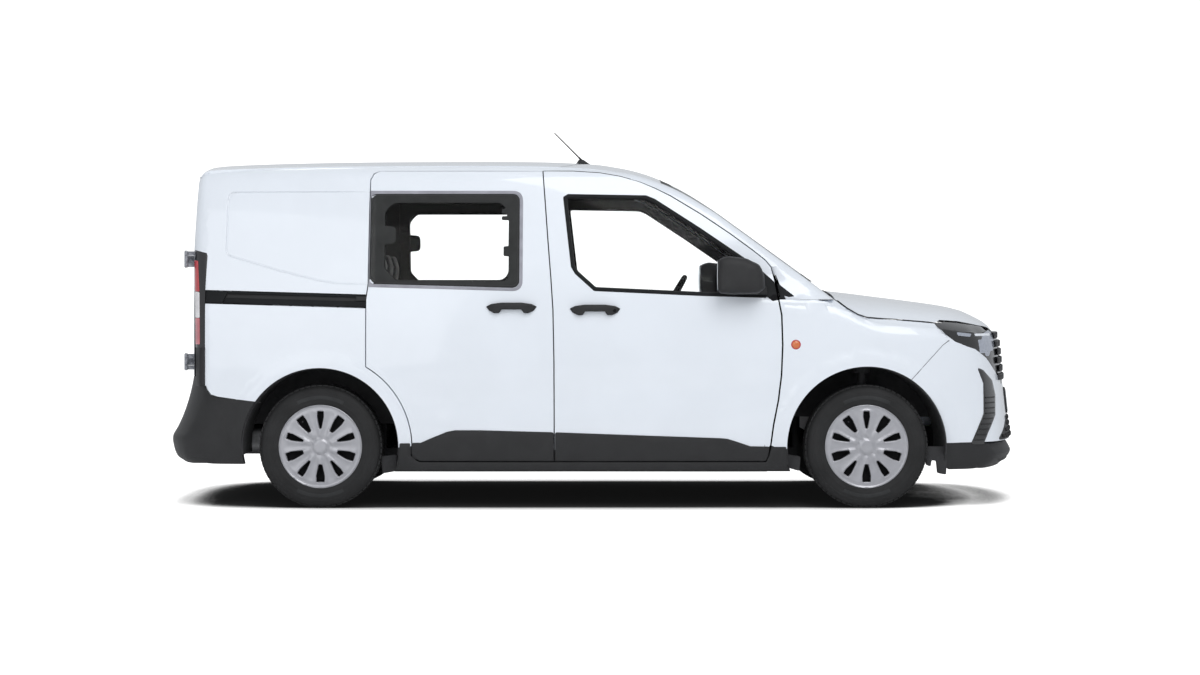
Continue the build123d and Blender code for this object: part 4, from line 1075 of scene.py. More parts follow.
# ---- side trim -----------------------------------------------------------------
FRONT_GLASS = [
    (-159, 1537), (-134, 1552), (254, 1545), (298, 1527), (521, 1382), (732, 1238), (828, 1166),
    (845, 1036), (518, 1045), (-5, 1069), (-99, 1154), (-119, 1188),
]
WINDOW_CORNERS = [(-1113, 1104), (-1113, 1552), (-374, 1552), (-374, 1085)]
CLEAR_GLASS = [
    (-1041, 1182, 40), (-985, 1124, 30), (-490, 1118, 40), (-427, 1118, 60), (-424, 1240, 4),
    (-452, 1242, 8), (-452, 1290, 8), (-428, 1292, 4), (-427, 1420, 4), (-462, 1421, 8), (-462, 1440, 8),
    (-436, 1441, 4), (-436, 1452, 4), (-462, 1453, 8), (-462, 1476, 8), (-440, 1478, 6), (-470, 1508, 40),
    (-1000, 1508, 60), (-1041, 1460, 40), (-1041, 1392, 6), (-985, 1388, 26), (-985, 1302, 26),
    (-1041, 1298, 6),
]
SLIDING_CLADDING = [
    (-203.5, 375), (-566, 385), (-689, 385), (-729, 377), (-812, 343), (-857, 323), (-900, 323),
    (-900, 262), (-864, 232.5), (-203.5, 232.5),
]
DOOR_CLADDING = [
    (-196.5, 375), (271, 358), (615, 346), (649, 343), (689, 331), (763, 306), (858.5, 304),
    (852, 262), (845, 242), (836.5, 232.5), (-196.5, 232.5),
]
SILL_CLADDING = [
    (-960, 321), (-908, 321), (-908, 262), (-870, 226.5), (842, 226.5), (857, 262), (866, 303),
    (939, 303), (943, 240), (949, 184), (-972, 184), (-964, 250),
]
HANDLE = [
    (-127, 6, 5), (-100, 21, 24), (-50, 28, 40), (50, 28, 40), (100, 21, 24), (127, 6, 5), (112, -13, 12),
    (86, -25, 12), (62, -24, 8), (50, -8, 6), (-50, -8, 6), (-62, -24, 8), (-86, -25, 12), (-112, -13, 12),
]
REPEATER_X, REPEATER_Z = 987, 806
FRONT_SEAM = [
    (838, 229), (848, 240), (863, 310), (876, 410), (900, 533), (915, 656), (921, 803), (917, 951),
    (903, 1025), (893, 1074), (885, 1134), (871, 1188), (842, 1223), (779, 1273), (670, 1353), (522, 1453),
    (374, 1543), (299, 1581), (225, 1614), (125, 1642), (25, 1660), (-110, 1669), (-258, 1669),
]
MIDDLE_SEAM = [(-260, 1669), (-248, 1522), (-233, 1322), (-217, 1124), (-207, 976), (-202, 730), (-200, 232)]
# The narrow seams where a dark line is laid as painted shade.
PANEL_SEAMS = {
    "bonnet": [(1193, 1024), (1244, 984), (1298, 951), (1342, 939), (1460, 931), (1609, 919), (1684, 912)],
    "bumper": [(1751, 825), (1719, 803), (1556, 630)],
    "rear_bumper": [(-1920, 603), (-1912, 582), (-1892, 558), (-1859, 548), (-1750, 533), (-1642, 521)],
}
FLAPS = {
    "front_lip": [(1636, 300), (1640, 208), (1662, 200), (1666, 232), (1690, 228), (1696, 168), (1738, 160),
                  (1742, 236), (1752, 300)],
    "front_flap": [(948, 260), (950, 196), (1012, 178), (1018, 250)],
    "rear_flap": [(-980, 260), (-984, 178), (-1052, 166), (-1060, 250)],
}


def make_cladding(side, word):
    for name, outline, body, corner, parts in (
        (f"sliding_door_{word}", SLIDING_CLADDING, "body", 10, 3),
        (f"front_door_{word}", DOOR_CLADDING, f"front_door_{word}", 10, 3),
        (f"sill_{word}", SILL_CLADDING, "body", 5, 2),
    ):
        outline = rounded(outline, corner, parts)
        plate(f"{name}_cladding", outline, side_skin(side, 4), body, CLADDING, thick=7, edge=2.2, step=26)


def make_window_frames(side, word):
    door = f"front_door_{word}"
    plate(f"{door}_window_frame", rounded(FRONT_WINDOW, 14, 4), side_skin(side, 1.2), door, FRAME_BLACK,
          thick=9, edge=1, step=24, holes=[rounded(offset(FRONT_GLASS, -17), 16, 4)])
    plate(f"{door}_window_seal", rounded(offset(FRONT_GLASS, -12), 14, 4), side_skin(side, -8), door, SEAL,
          thick=5, edge=1.5, step=24, holes=[rounded(offset(FRONT_GLASS, -21), 18, 4)])
    plate(f"pillar_sail_{word}", rounded([(897, 1112), (1000, 1030), (914, 1031), (905, 1068)], 5, 3),
          side_skin(side, 1.2), "body", FRAME_BLACK, thick=5, edge=1, step=16)
    window = f"sliding_window_{word}"
    border = rounded([(x, z, 4 if x < -1000 else 36) for x, z in WINDOW_CORNERS], 36, 6)
    plate(f"{window}_border", border, side_skin(side, 0.8), "body", FRIT, thick=1.2, edge=0.4, step=24,
          holes=[rounded(CLEAR_GLASS, 20, 4)])
    strip = rounded([(-1114, 1568, 0), (-357, 1568, 52), (-357, 1068, 52), (-1114, 1089, 0)], 30, 7)
    plate(f"{window}_trim", strip, side_skin(side, 2), "body", GREY_TRIM, thick=5, edge=1.5, step=24,
          holes=[rounded(offset(WINDOW_CORNERS, 0.6), 36, 6)])
    plate(f"{window}_seal", rounded(offset(WINDOW_CORNERS, -5), 32, 6), side_skin(side, 1.6), "body", SEAL,
          thick=2, edge=0.8, step=24, holes=[rounded(offset(WINDOW_CORNERS, -12), 27, 6)])


def make_handle(side, word, kind, body, x, z):
    def grip_skin(uv):
        u = np.clip(np.abs(uv[:, 0]) / 125, 0, 1)
        lift = 6 + 26 * (1 - u**3) - 6 * ease((np.abs(uv[:, 1] - 14)) / 26)
        px, pz = uv[:, 0] + x, uv[:, 1] + z
        return np.stack([px, side * (side_y(px, pz) + lift), pz], 1)
    name = f"{kind}_door_{word}_handle"
    feet = []
    for end in (x - 88, x + 88):
        y = side * at_place(side_y, end, z)
        near, far = sorted((y - side * 4, y + side * 17))
        feet.append(((end - 18, near, z - 14), (end + 18, far, z + 18), 6))
    solid(f"{name}_feet", body, CLADDING, feet)
    return plate(name, rounded(HANDLE, 10, 4), grip_skin, body, CLADDING, thick=13, edge=4, step=9)


def make_handles(side, word):
    door = f"front_door_{word}"
    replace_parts(make_handle(side, word, "front", door, 0, 976), f"front_door_handle_{word}")
    plate(f"{door}_lock", circle(96, 974, 9, 24), side_skin(side, 19), door, CHASSIS,
          thick=8, edge=1.5, step=6)
    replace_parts(make_handle(side, word, "sliding", "body", -411, 986), "sliding_door_handles")


def make_repeater(side, word):
    def dome(uv):
        r = np.hypot(uv[:, 0] - REPEATER_X, uv[:, 1] - REPEATER_Z)
        y = side_y(uv[:, 0], uv[:, 1]) + 2 + 5 * (1 - (r / 19.5) ** 2)
        return np.stack([uv[:, 0], side * y, uv[:, 1]], 1)
    rim, lens = circle(REPEATER_X, REPEATER_Z, 24, 40), circle(REPEATER_X, REPEATER_Z, 19, 36)
    plate(f"side_repeater_{word}_rim", rim, side_skin(side, 1.2), "body", RED_LENS, thick=3, edge=1, step=8)
    plate(f"side_repeater_{word}", lens, dome, "body", ORANGE_LENS, thick=3, edge=0.8, step=6)


def make_rail(side, word):
    cap = rounded([(-1922, 1071), (-1812, 1068), (-1840, 1010), (-1922, 1012)], 4, 3)
    for name, outline, lift, material, thick, edge, step in (
        ("channel", [(-1923, 1072), (-1116, 1050), (-1116, 987), (-1923, 1010)], -11, SEAL, 2.5, 0.5, 30),
        ("upper", [(-1808, 1068), (-1117, 1049), (-1117, 1038), (-1815, 1057)], -1, FRAME_BLACK, 9, 2, 30),
        ("lower", [(-1822, 1036), (-1117, 1017), (-1117, 989), (-1835, 1009)], -3, FRAME_BLACK, 8, 2, 30),
        ("cap", cap, -0.5, FRAME_BLACK, 10, 2, 24),
    ):
        made = plate(f"door_rail_{word}_{name}", outline, side_skin(side, lift, True), "body", material,
                     thick, edge, step)
        if name == "channel":
            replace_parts(made, "door_tracks")


def make_seams(side, word):
    """Rubber strips deep in the door seams, and painted shade: dark lines in the narrow seams and dark
    fillers behind the front one.
    """
    door_strip, shade_line_skin = side_skin(side, -9, True), side_skin(side, -0.6)
    upper = [p for p in FRONT_SEAM if p[1] > 1260]
    lower = [p for p in FRONT_SEAM if p[1] < 1100]
    for name, line in (("front", upper), ("middle", MIDDLE_SEAM)):
        solid(f"door_seal_{name}_{word}", "body", SEAL, tubes=[(door_strip(dense(line, 40)), 1.9, 8)])
    # Dark lines just under the skin: painted shade in the narrow seams.
    for name, line in PANEL_SEAMS.items():
        solid(f"{name}_seam_{word}", "body", SEAL, tubes=[(shade_line_skin(dense(line, 18)), 1.5, 8)])
    # Dark fillers deep behind the front seam and the sill: painted shade.
    pillar = side_skin(side, -96, True)(dense(lower, 40))
    solid(f"hinge_pillar_filler_{word}", "body", TRIM, tubes=[(pillar, 13, 8)])
    sill = side_skin(side, -84, True)
    plate(f"sill_filler_{word}", box(-880, 212, 858, 247), sill, "body", TRIM, thick=3, edge=0.6, step=60)


def make_flaps(side, word):
    """The liner's lower ends, which hang below the body in front of and behind the wheels."""
    for name, outline in FLAPS.items():
        plate(f"{name}_{word}", rounded(outline, 8, 3), flat_side(side, 812), "body", LINER_MAT,
              thick=30, edge=3, step=40)


both(make_cladding, make_window_frames, make_handles, make_repeater, make_rail, make_seams, make_flaps)


# ---- lamps, grille and other front and rear trim --------------------------------
LAMP_LENS = [
    (1942, 856), (1993, 874), (2018, 852), (2024, 793), (1996, 778), (1976, 743), (1956, 745), (1942, 780),
    (1932, 831),
]
TURN_LIGHT = [(1790, 866), (1874, 857), (1862, 842), (1798, 849)]
AIR_CURTAIN = [
    (1901, 691), (1936, 676), (1993, 623), (2013, 548), (2008, 448), (1958, 364), (1933, 307), (1862, 307),
    (1900, 385), (1935, 460), (1935, 610),
]
REAR_SPLIT = -90


def nose_y(x, z):
    """Half width of the nose at a place along the van."""
    low, high = np.zeros_like(x), np.full_like(x, 940.0)
    for _ in range(30):
        mid = (low + high) / 2
        ahead = nose_x(mid, z) > x
        low, high = np.where(ahead, mid, low), np.where(ahead, high, mid)
    return low


def wrap_skin(side, lift, radius=50.0):
    """The side and the nose as one skin, from X and Z."""
    def at(uv):
        x, z = uv[:, 0], uv[:, 1]
        a, b = side_y(x, z) + pressed(x, z), nose_y(x, z)
        h = np.maximum(radius - np.abs(a - b), 0) / radius
        y = np.minimum(a, b) - h * h * radius / 4
        p = np.stack([x, side * y, z], 1)
        g = gradient(lambda q: joined(["pressed", "nose"], q, radius), p)
        return p + g / np.linalg.norm(g, axis=1)[:, None] * lift
    return at


def make_headlamp(side, word):
    name = f"headlamp_{word}"
    smooth_panel(name, ["nose", "pressed"], "body", [GLOSS_BLACK], radius=50, within=7)
    plate(f"{name}_reflector", rounded(LAMP_LENS, 9, 4), wrap_skin(side, 1.2), "body", REFLECTOR,
          thick=5, edge=2, step=10)
    plate(f"{name}_turn_light", rounded(TURN_LIGHT, 5, 3), wrap_skin(side, 0.8), "body", REFLECTOR,
          thick=4, edge=1, step=12)
    for tag, y0, z0, y1, z1, material, lift, corner in (
        ("main_beam", 572, 770, 650, 838, REFLECTOR, 2, 8),
        ("low_beam", 662, 760, 735, 828, REFLECTOR, 2, 8),
        ("day_light", 572, 846, 742, 858, LIGHT_BAR, 3, 4),
    ):
        outline = rounded(box(side * y0, z0, side * y1, z1), corner, 3)
        plate(f"{name}_{tag}", outline, end_skin(nose_x, lift), "body", material, thick=5, edge=1.5, step=14)


def make_air_curtain(side, word):
    plate(f"air_curtain_{word}", rounded(AIR_CURTAIN, 12, 3), wrap_skin(side, 1.5), "body", GLOSS_BLACK,
          thick=6, edge=2, step=14)
    slats = []
    for z in range(330, 564, 26):
        inner = np.interp(z, [307, 385, 460, 610], [1866, 1904, 1938, 1938])
        outer = np.interp(z, [307, 364, 448, 548, 623], [1930, 1955, 2004, 2009, 1990])
        line = np.array([(inner + 6 + (outer - inner - 14) * i / 5, z) for i in range(6)])
        slats.append((wrap_skin(side, 3)(line), 3.2, 8))
    solid(f"air_curtain_{word}_slats", "body", CLADDING, tubes=slats)


def tail_wrap(side, lift, radius=45, turn=60.0):
    """The side and the tail as one skin: the first number runs round the corner from the side."""
    def at(uv):
        u, z = uv[:, 0], uv[:, 1]
        x = -1930 - np.minimum(u, turn)
        p = np.stack([x, side * (side_y(x, z) - np.maximum(u - turn, 0)), z], 1)
        return project(["pressed", "tail"], p, radius, -lift)[0]
    return at


def make_tail_lamp(side, word):
    name = f"tail_lamp_{word}"
    smooth_panel(name, ["pressed", "tail"], "body", [GLOSS_BLACK], radius=45, within=4)
    for tag, low, high, slant, material in (
        ("brake", 1068, 1222, 12, RED_LENS),
        ("reverse", 938, 1066, 0, PALE_LENS),
        ("turn", 806, 936, 0, PINK_LENS),
    ):
        outline = [(36, low, 4), (108, low, 4), (108, high, 4), (36 + slant, high, 8)]
        plate(f"{name}_{tag}", rounded(outline, 6, 3), tail_wrap(side, 2.5), "body", material,
              thick=5, edge=1.5, step=12,
              outward=(0, side, 0))


def make_rear_hinge_pins(side, word):
    x, y, radius = -2034, side * 752, 7
    pins = [([(x, y, z), (x, y, z + rise)], radius)
            for low in (700, 1210) for z, rise in ((low - 22, -3), (low + 58, 3))]
    solid(f"rear_hinge_{word}_pins", "body", GALVANISED, tubes=pins)


def staggered(count, pitch, rows, low, rise):
    """Places across and up in rows, every second row shifted by half a pitch."""
    for row in range(rows):
        for k in range(-count, count + 1):
            yield k * pitch + (pitch / 2 if row % 2 else 0), low + rise * row


def make_grille():
    smooth_panel("grille", ["nose", "bonnet"], "body", [GLOSS_BLACK], radius=20, within=30)
    edge = [(-550, 846), (-550, 704), (-466, 606), (466, 606), (550, 704), (550, 846)]
    plate("grille_mesh_insert", edge, end_skin(nose_x, -8), "body", GLOSS_BLACK,
          thick=5, edge=1, step=30, outward=(1, 0, 0))
    places = [(at_place(nose_x, y, z) - 3, y, z) for y, z in staggered(8, 64, 6, 636, 42) if abs(y) <= 520]
    tooth = small_mesh("grille_tooth", (-7, -30, -17), (7, 30, 17), 6, 3)
    turns = [(0, 0, -math.atan(y / 1700)) for _, y, _ in places]
    repeated("grille_teeth", tooth, places, "body", GLOSS_BLACK, turns)


def make_plates():
    for name, outline, skin, body, material, thick, edge, step in (
        ("front_number_plate", rounded(box(-260, 450, 260, 562), 8, 3), end_skin(nose_x, 13), "body",
         PLATE, 4, 1.2, 30),
        ("front_plate_carrier", rounded(box(-268, 440, 268, 572), 10, 3), end_skin(nose_x, 10), "body",
         BUMPER_PLASTIC, 14, 2, 30),
        ("rear_number_plate", rounded(box(60, 742, 580, 852), 8, 3), end_skin(tail_x, 5), "rear_door_left",
         PLATE, 5, 1.2, 30),
        ("rear_plate_panel", rounded(box(44, 728, 596, 905), 16, 4), end_skin(tail_x, 1.2), "rear_door_left",
         CLADDING, 5, 1.5, 30),
        ("lower_intake", rounded([(-690, 322), (690, 322), (400, 438), (-400, 438)], 14, 4),
         end_skin(nose_x, 1.5), "body", CLADDING, 6, 2, 24),
    ):
        plate(name, outline, skin, body, material, thick, edge, step)
    places = [(at_place(nose_x, y, z) + 1, y, z) for y, z in staggered(11, 58, 4, 340, 28)
              if abs(y) < 640 - 2.5 * (z - 322)]
    bar = small_mesh("intake_bar", (-7, -25, -9), (7, 25, 9), 4, 2)
    repeated("lower_intake_bars", bar, places, "body", CLADDING, [(0, 0, 0)] * len(places))


def make_rear_door_trim(side, word):
    body = f"rear_door_{word}"
    inner, outer = REAR_SPLIT + side * 76, side * 636
    corners = [(inner, 1136), (outer, 1136), (outer, 1250), (side * 586, 1554), (inner, 1554)]
    plate(f"{body}_window_border", rounded(corners, 28, 5), end_skin(tail_x, 0.6), body, FRIT,
          thick=1, edge=0.4, step=28,
          holes=[rounded(offset(corners, -42), 34, 5)])
    if side == LEFT:
        pull = rounded(box(REAR_SPLIT + 40, 985, REAR_SPLIT + 175, 1030), 14, 4)
        plate(f"{body}_handle", pull, end_skin(tail_x, 22), body, CLADDING, thick=22, edge=6, step=14)
    lines = []
    for z in range(1200, 1489, 36):
        a, b = sorted((REAR_SPLIT + side * 125, side * (590 - 0.16 * max(z - 1250, 0))))
        lines.append(([(at_place(tail_x, y, z) + 5.4, y, z) for y in np.linspace(a, b, 9)], 0.7, 5))
    solid(f"{body}_heater_lines", body, CLADDING, tubes=lines)


both(make_headlamp, make_air_curtain, make_tail_lamp, make_rear_hinge_pins, make_rear_door_trim)
make_grille()
make_plates()


# ---- cabin -----------------------------------------------------------------------
SEAT_BASE = [(-150, 432), (330, 432), (345, 500), (320, 568), (-120, 545)]
SEAT_BACK = [(-70, 548), (-186, 548), (-250, 800), (-343, 1232), (-240, 1238), (-160, 900)]
SEAT_HEAD = [(-352, 1312), (-268, 1306), (-262, 1400), (-280, 1474), (-338, 1474), (-356, 1400)]
BENCH_BASE = [(-945, 432), (-505, 432), (-492, 520), (-522, 556), (-945, 542)]
BENCH_BACK = [(-932, 520), (-1040, 500), (-1048, 620), (-1132, 1100), (-1054, 1103), (-948, 570)]
BENCH_HEAD = [(-1142, 1128), (-1080, 1126), (-1072, 1200), (-1090, 1262), (-1134, 1262), (-1146, 1200)]
STEERING_CENTRE, STEERING_TILT, STEERING_R = (405, 370, 1001), 30, 170


def cushion(name, outline, middle, half, corner, bulge, seams=(), rings=22):
    """An upholstered block: a side outline in X and Z swept across, its edges and corners soft."""
    pts = np.array(resample(rounded(outline, corner, 6), 14))
    way = np.roll(pts, -1, 0) - np.roll(pts, 1, 0)
    way /= np.linalg.norm(way, axis=1)[:, None]
    out = np.stack([way[:, 1], -way[:, 0]], 1) * (1 if signed_area(pts) > 0 else -1)
    edge = min(24, half / 3)
    start = [-half, -half + edge * 0.12, -half + edge * 0.4]
    rows = []
    for w in start + list(np.linspace(-half + edge, half - edge, rings)) + [-w for w in reversed(start)]:
        left = half - abs(w)
        back = edge * (1 - math.sqrt(max(0, 1 - (1 - min(left / edge, 1)) ** 2))) * 0.9
        swell = bulge * (1 - (w / half) ** 4)
        groove = sum(6 * math.exp(-(((w - s) / 7) ** 2)) for s in seams)
        rows.append([(x, middle + w, z) for x, z in pts - out * (back + groove - swell + bulge)])
    obj = from_bmesh(name, loft(rows), "body", FABRIC, 60)
    return obj


def make_front_seat(side, word):
    y, name = side * 370, f"front_seat_{word}"
    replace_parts(cushion(f"{name}_cushion", SEAT_BASE, y, 238, 34, 8, (-128, 128)), "front_seats")
    cushion(f"{name}_back", SEAT_BACK, y, 233, 30, 8, (-122, 122))
    cushion(f"{name}_head_rest", SEAT_HEAD, y, 126, 24, 6, (), 10)
    rods = [([(-292, y + w, 1225), (-312, y + w, 1330)], 6.5, 14) for w in (-42, 42)]
    solid(f"{name}_rods", "body", CHROME, tubes=rods)
    rails = []
    for w in (y - 205, y + 205):
        rails += [((-120, w - 14, 276), (300, w + 14, 300), 4, 2),
                  ((-90, w - 10, 296), (250, w + 10, 436), 6, 2)]
    solid(f"{name}_frame", "body", CHASSIS, rails + [((-60, y - 190, 380), (230, y + 190, 432), 10, 2)])
    inner = y + 262 if side < 0 else y - 278
    solid(f"{name}_buckle", "body", TRIM, [((-20, inner, 420), (34, inner + 16, 560), 6, 2)])


def make_bench():
    seat = cushion("rear_bench_cushion", BENCH_BASE, 0, 546, 30, 8, (-182, 182), 40)
    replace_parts(seat, "rear_bench")
    cushion("rear_bench_back", BENCH_BACK, 0, 546, 24, 6, (-182, 182), 40)
    for k, y in enumerate((-364, 0, 364)):
        cushion(f"rear_head_rest_{k}", BENCH_HEAD, y, 118, 20, 5, (), 8)
        rods = [([(-1098, y + w, 1082), (-1108, y + w, 1150)], 6, 12) for w in (-38, 38)]
        solid(f"rear_head_rest_{k}_rods", "body", CHROME, tubes=rods)
    legs = [((-920, y - 40, 276), (-640, y + 40, 434), 10, 2) for y in (-400, 0, 400)]
    solid("rear_bench_frame", "body", CHASSIS, legs)


def make_steering_wheel():
    tilt = math.radians(STEERING_TILT)
    centre, across = Vector(STEERING_CENTRE), Vector((0, 1, 0))
    axis = Vector((-math.cos(tilt), 0, math.sin(tilt)))
    up = Vector((math.sin(tilt), 0, math.cos(tilt)))

    def at(u, v, w=0.0):
        return centre + across * u + up * v + axis * w

    ring = []
    for k in range(96):
        a = 2 * math.pi * k / 96
        flat = 1 - 0.06 * float(ease((-math.sin(a) - 0.75) / 0.25))
        ring.append(at(STEERING_R * math.cos(a), STEERING_R * math.sin(a) * flat))
    rim = solid("steering_wheel_rim", "steering_wheel", TRIM, tubes=[(ring, 14, 16, True)])
    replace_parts(rim, "steering_wheel")
    spokes = []
    for u, v in ((-1, -0.05), (1, -0.05), (0, -1)):
        path = [at(u * r, v * r, -14 * (1 - r / 165)) for r in (40, 80, 120, 160)]
        spokes.append((path, [20, 15, 12, 11], 14))
    solid("steering_wheel_spokes", "steering_wheel", TRIM, tubes=spokes)
    pad = rounded([(-66, -30, 20), (-58, 48, 26), (58, 48, 26), (66, -30, 20), (30, -64, 20), (-30, -64, 20)],
                  20, 5)

    def pad_skin(uv):
        rise = 18 - 8 * (uv[:, 0] ** 2 + uv[:, 1] ** 2) / 70**2
        return np.array(centre) + np.stack([uv[:, 0], uv[:, 1], rise], 1) @ np.array([across, up, axis])

    plate("steering_wheel_pad", pad, pad_skin, "steering_wheel", TRIM,
          thick=30, edge=6, step=14, outward=tuple(axis))


def hooded(outline, middle, rows):
    """Rings of one outline, shrunk towards its middle: each row is the place across and the share."""
    middle = np.array(middle, float)
    return [[(x, y, z) for x, z in middle + (np.array(outline) - middle) * share] for y, share in rows]


def make_dashboard():
    soften("dashboard", "dashboard_panel", TRIM)
    binnacle = [(560, 990, 20), (640, 1046, 24), (760, 1040, 30), (800, 1002, 10), (640, 985, 10)]
    hood = hooded(rounded(binnacle, 16), (690, 1000), (
        (205, 0.72), (215, 0.9), (250, 1.0), (370, 1.03), (490, 1.0), (525, 0.9), (535, 0.72),
    ))
    from_bmesh("instrument_hood", loft(hood), "body", TRIM)
    screens = [
        ("instrument_screen", box(230, 930, 510, 1016), 12, 622, GLOSS_BLACK, 6, 1.5, 24),
        ("centre_screen", box(-120, 880, 130, 1030), 14, 606, GLOSS_BLACK, 14, 3, 24),
    ]
    for k, (y, x) in enumerate(((-640, 624), (-200, 622), (200, 622), (640, 624))):
        screens.append((f"air_vent_{k}", box(y - 62, 850, y + 62, 905), 12, x, SEAL, 12, 3, 20))
        slats = [((613, y - 54, z - 2), (624, y + 54, z + 2), 1, 1) for z in (864, 877, 890)]
        solid(f"air_vent_{k}_slats", "body", TRIM, slats)
    for name, outline, corner, x, material, thick, edge, step in screens:
        plate(name, rounded(outline, corner, 4), facing_skin(x), "body", material, thick, edge, step,
              outward=(-1, 0, 0))
    solid("centre_console", "body", TRIM,
          [((560, -110, 560), (700, 110, 800), 30, 4), ((120, -90, 276), (640, 90, 430), 26, 4)],
          [([(560, 0, 760), (520, 0, 845)], [9, 8], 14)])
    bm = bmesh.new()
    bmesh.ops.create_uvsphere(bm, u_segments=24, v_segments=14, radius=24 * MM,
                              matrix=Matrix.Translation(Vector((516, 0, 862)) * MM))
    from_bmesh("gear_knob", bm, "body", GLOSS_BLACK)


def soften(node, name, material, rounding=12.0):
    """A CAD piece replaced by a copy with its sharp edges rounded."""
    bm = merged(node)
    flat = [e for e in bm.edges if len(e.link_faces) == 2 and e.calc_face_angle(0) < 0.02]
    bmesh.ops.dissolve_edges(bm, edges=flat, use_verts=True)
    sharp = [e for e in bm.edges if len(e.link_faces) == 2 and e.calc_face_angle(0) > 0.5]
    bmesh.ops.bevel(bm, geom=sharp, offset=rounding * MM, segments=3, profile=0.5, affect="EDGES",
                    clamp_overlap=True)
    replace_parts(from_bmesh(name, bm, "body", material, 35), node)


def make_door_trim(side, word):
    """The inside panel of a front door, with arm rest and pocket."""
    panel = [(-120, 300), (760, 300), (800, 520), (800, 980), (-60, 1010), (-120, 960)]
    rest = [(60, 700), (520, 720), (560, 760), (520, 790), (60, 770)]
    pocket = [(-40, 360), (640, 360), (600, 470), (-20, 470)]
    body = f"front_door_{word}"
    for name, outline, corner, depth, thick, edge, step in (
        ("trim", panel, 50, 75, 10, 4, 40),
        ("arm_rest", rest, 24, 105, 34, 14, 24),
        ("pocket", pocket, 24, 100, 26, 8, 30),
    ):
        plate(f"{body}_{name}", rounded(outline, corner, 5), side_skin(side, -depth, True), body, TRIM,
              thick, edge, step, outward=(0, -side, 0))


both(make_front_seat)
make_bench()
make_steering_wheel()
make_dashboard()
both(make_door_trim)


# ---- mirrors, wipers, cowl and aerial ---------------------------------------------
MIRROR_HEAD = [
    (606, 1056, 22), (680, 1051, 20), (800, 1056, 26), (834, 1080, 20), (828, 1150, 40), (806, 1196, 40),
    (740, 1228, 60), (650, 1239, 40), (606, 1226, 26), (598, 1150, 20),
]
MIRROR_SHARES = [
    (0, 0.86), (0.06, 0.965), (0.16, 1), (0.45, 1), (0.72, 0.97), (0.88, 0.9), (0.97, 0.74), (1, 0.5),
]
MIRROR_ARM = [(690, 1052, 4), (850, 1052, 4), (846, 1090, 10), (800, 1104, 16), (710, 1098, 16)]


def make_mirror(side, word):
    body, name = f"front_door_{word}", f"mirror_{word}"
    pts = np.array(resample(rounded(MIRROR_HEAD, 30, 6), 16))
    centre = np.array([712.0, 1144.0])
    rows = []
    for t, share in MIRROR_SHARES:
        # The outer end sweeps back towards the rear.
        ring = centre + (pts - centre) * share + [-10 * t * t, 4 * t * (1 - t)]
        rows.append([(x, side * (912 + t * 112 if t else 914), z) for x, z in ring])
    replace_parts(from_bmesh(f"{name}_housing", loft(rows), body, CLADDING, 45), name)

    def arm_skin(uv):
        x, z = uv[:, 0], uv[:, 1]
        return np.stack([x, side * (936 - 0.30 * np.maximum(x - 700, 0)), z], 1)

    plate(f"{name}_arm", rounded(MIRROR_ARM, 8, 4), arm_skin, body, CLADDING, thick=74, edge=8, step=18)

    # The glass faces the rear, set in a rim that stands behind the housing.
    def back(lift):
        return lambda uv: np.stack([
            606 - lift - 0.05 * (np.abs(uv[:, 0]) - 922) + 0.0004 * (uv[:, 1] - 1145) ** 2,
            uv[:, 0], uv[:, 1]], 1)

    face = box(side * 922, 1066, side * 1008, 1224)
    plate(f"{name}_rim", rounded(face, 26, 6), back(6), body, CLADDING,
          thick=26, edge=5, step=14, outward=(-1, 0, 0))
    plate(f"{name}_glass", rounded(offset(face, -7), 20, 6), back(8), body, MIRROR_GLASS,
          thick=4, edge=1, step=14,
          outward=(-1, 0, 0))


def make_wipers():
    """Two wipers parked at the foot of the windscreen, each an arm with its blade."""
    px = 1172
    for name, py, tip_y in (("driver", 190, 640), ("passenger", -420, 60)):
        run = tip_y - py
        reach = [(px - 16 * t - 0.000035 * (py + run * t * 0.7) ** 2, py + run * t * 0.7, 1068 - 2 * t)
                 for t in (0.0, 0.25, 0.5, 0.75, 1.0)]
        across = [py + run * t for t in np.linspace(0.15, 1.1, 9)]
        solid(f"wiper_{name}", "body", SEAL, tubes=[
            ([(px, py, 1042), (px, py, 1070)], 11, 20),
            (reach, [8, 7, 5.5, 4.5, 4], 10),
            ([(px - 18 - 0.000035 * y * y, y, 1056) for y in across], [3] + [6] * 7 + [3], 8),
        ])


def make_cowl():
    slats = [((1136, y - 11, 1040), (1176, y + 11, 1049), 2, 1) for y in range(-610, 612, 37)]
    solid("cowl_louvres", "body", SEAL, slats)


def mirrored(half):
    """An outline from its half with Y at or above 0; points on the middle line aren't repeated."""
    return half + [(x, -y, *more) for x, y, *more in reversed(half) if y]


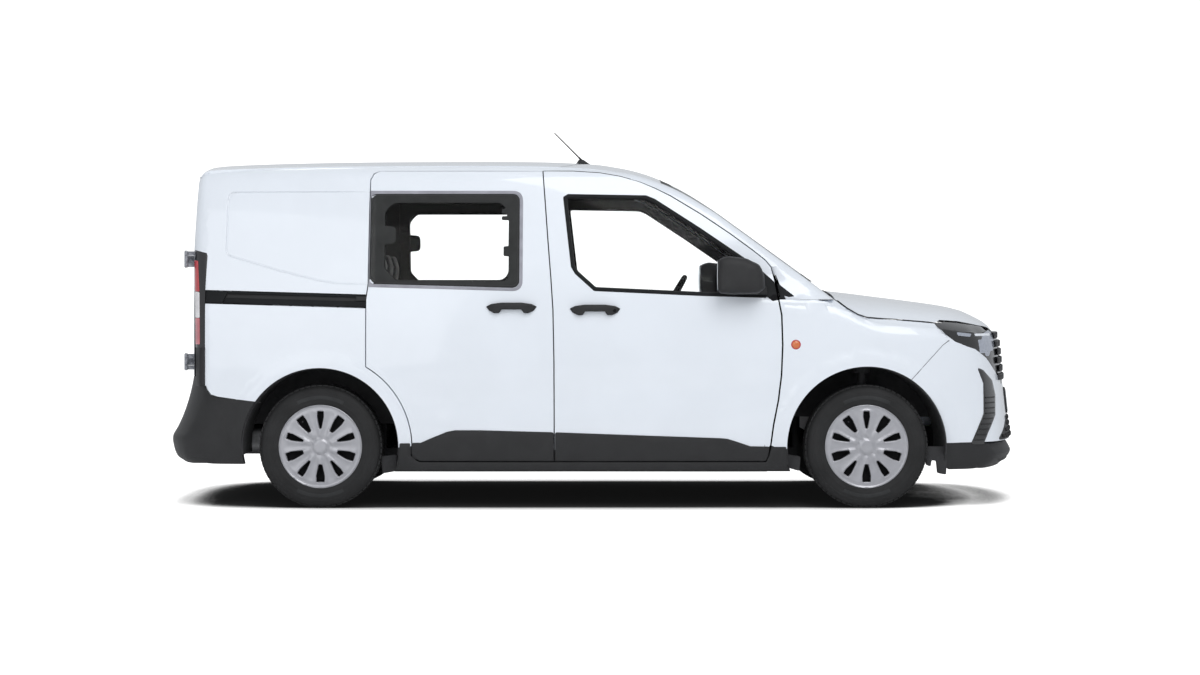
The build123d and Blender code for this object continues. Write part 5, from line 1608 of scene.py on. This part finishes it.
def make_windscreen_trim():
    def edge_line(gap):
        top, base = 332 - gap, 1130 + gap
        return mirrored([(top, 0), (top, 500), (top, 660 + gap), (600, 712 + gap), (900, 758 + gap),
                         (base - 68, 775 + gap), (base - 25, 450), (base, 0)])
    glass = mirrored([(382, 0), (382, 430), (388, 600), (620, 652), (900, 704), (1030, 716), (1052, 450),
                      (1066, 0)])
    band = [(386, -596), (386, 596), (560, 640), (622, 300), (636, 0), (622, -300), (560, -640)]
    sensor = [(372, -70), (372, 70), (470, 60), (490, 0), (470, -60)]
    for name, outline, lift, material, thick, edge, step, holes in (
        ("windscreen_border", rounded(edge_line(-2), 24), -0.4, FRIT, 0.9, 0.3, 40, [rounded(glass, 40, 6)]),
        ("windscreen_seal", rounded(edge_line(1), 22), 0.6, SEAL, 4, 1, 40, [rounded(edge_line(-9), 22)]),
        ("windscreen_shade_band", rounded(band, 30, 6), -6.6, SHADE_GLASS, 0.8, 0.2, 60, ()),
        ("rain_sensor_patch", rounded(sensor, 24), -8, FRIT, 2, 0.6, 20, ()),
    ):
        plate(name, outline, roof_skin(lift), "body", material, thick, edge, step, holes, (0, 0, 1))
    z = at_place(roof_z, 430, 0)
    solid("rain_sensor", "body", TRIM, [((418, -34, z - 58), (468, 34, z - 16), 8, 3)])
    solid("inside_mirror", "body", TRIM, [((400, -125, z - 118), (424, 125, z - 52), 12, 4)])
    plate("inside_mirror_glass", rounded(box(-118, z - 111, 118, z - 59), 14, 4), facing_skin(399), "body",
          MIRROR_GLASS, thick=3, edge=0.8, step=20, outward=(-1, 0, 0))


def make_sun_visor(side, word):
    visor = rounded([(392, side * 90), (392, side * 470), (300, side * 480), (290, side * 90)], 20, 4)
    plate(f"sun_visor_{word}", visor, roof_skin(-52), "body", TRIM_LIGHT,
          thick=16, edge=6, step=40, outward=(0, 0, 1))


def make_aerial():
    z = at_place(roof_z, -60, 0)
    outline = rounded([(-106, 0, 6), (-18, 0, 6), (-36, 12, 10), (-62, 30, 10), (-84, 30, 8)], 6, 4)
    rows = hooded([(x, z - 1 + h) for x, h in outline], (-62, z - 1), (
        (-20, 0.72), (-17, 0.9), (-11, 1.0), (0, 1.03), (11, 1.0), (17, 0.9), (20, 0.72),
    ))
    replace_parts(from_bmesh("aerial_base", loft(rows, False), "body", CLADDING), "roof_antenna")
    root, tip, across = Vector((-66, 0, z + 22)), Vector((-215, 0, 1910)), Vector((0, 1, 0))
    u = (tip - root).cross(across).normalized()
    coil = []
    for k in range(209):
        t, a = k / 208, math.pi * k / 4
        coil.append(root.lerp(tip, 0.15 + 0.8 * t) + (u * math.cos(a) + across * math.sin(a)) * (3.6 - t))
    mast = [root.lerp(tip, t) for t in (0, 0.12, 0.14, 0.96, 1)]
    solid("aerial_mast", "body", SEAL, tubes=[(mast, [5.5, 5.2, 3.6, 2.6, 2.0], 12), (coil, 0.8, 5)])


both(make_mirror, make_sun_visor)
make_wipers()
make_cowl()
make_windscreen_trim()
make_aerial()


# ---- close -----------------------------------------------------------------
def write_sizes():
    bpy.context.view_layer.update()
    def plain(b):
        return [[float(c) for c in corner] for corner in b]


write_sizes()
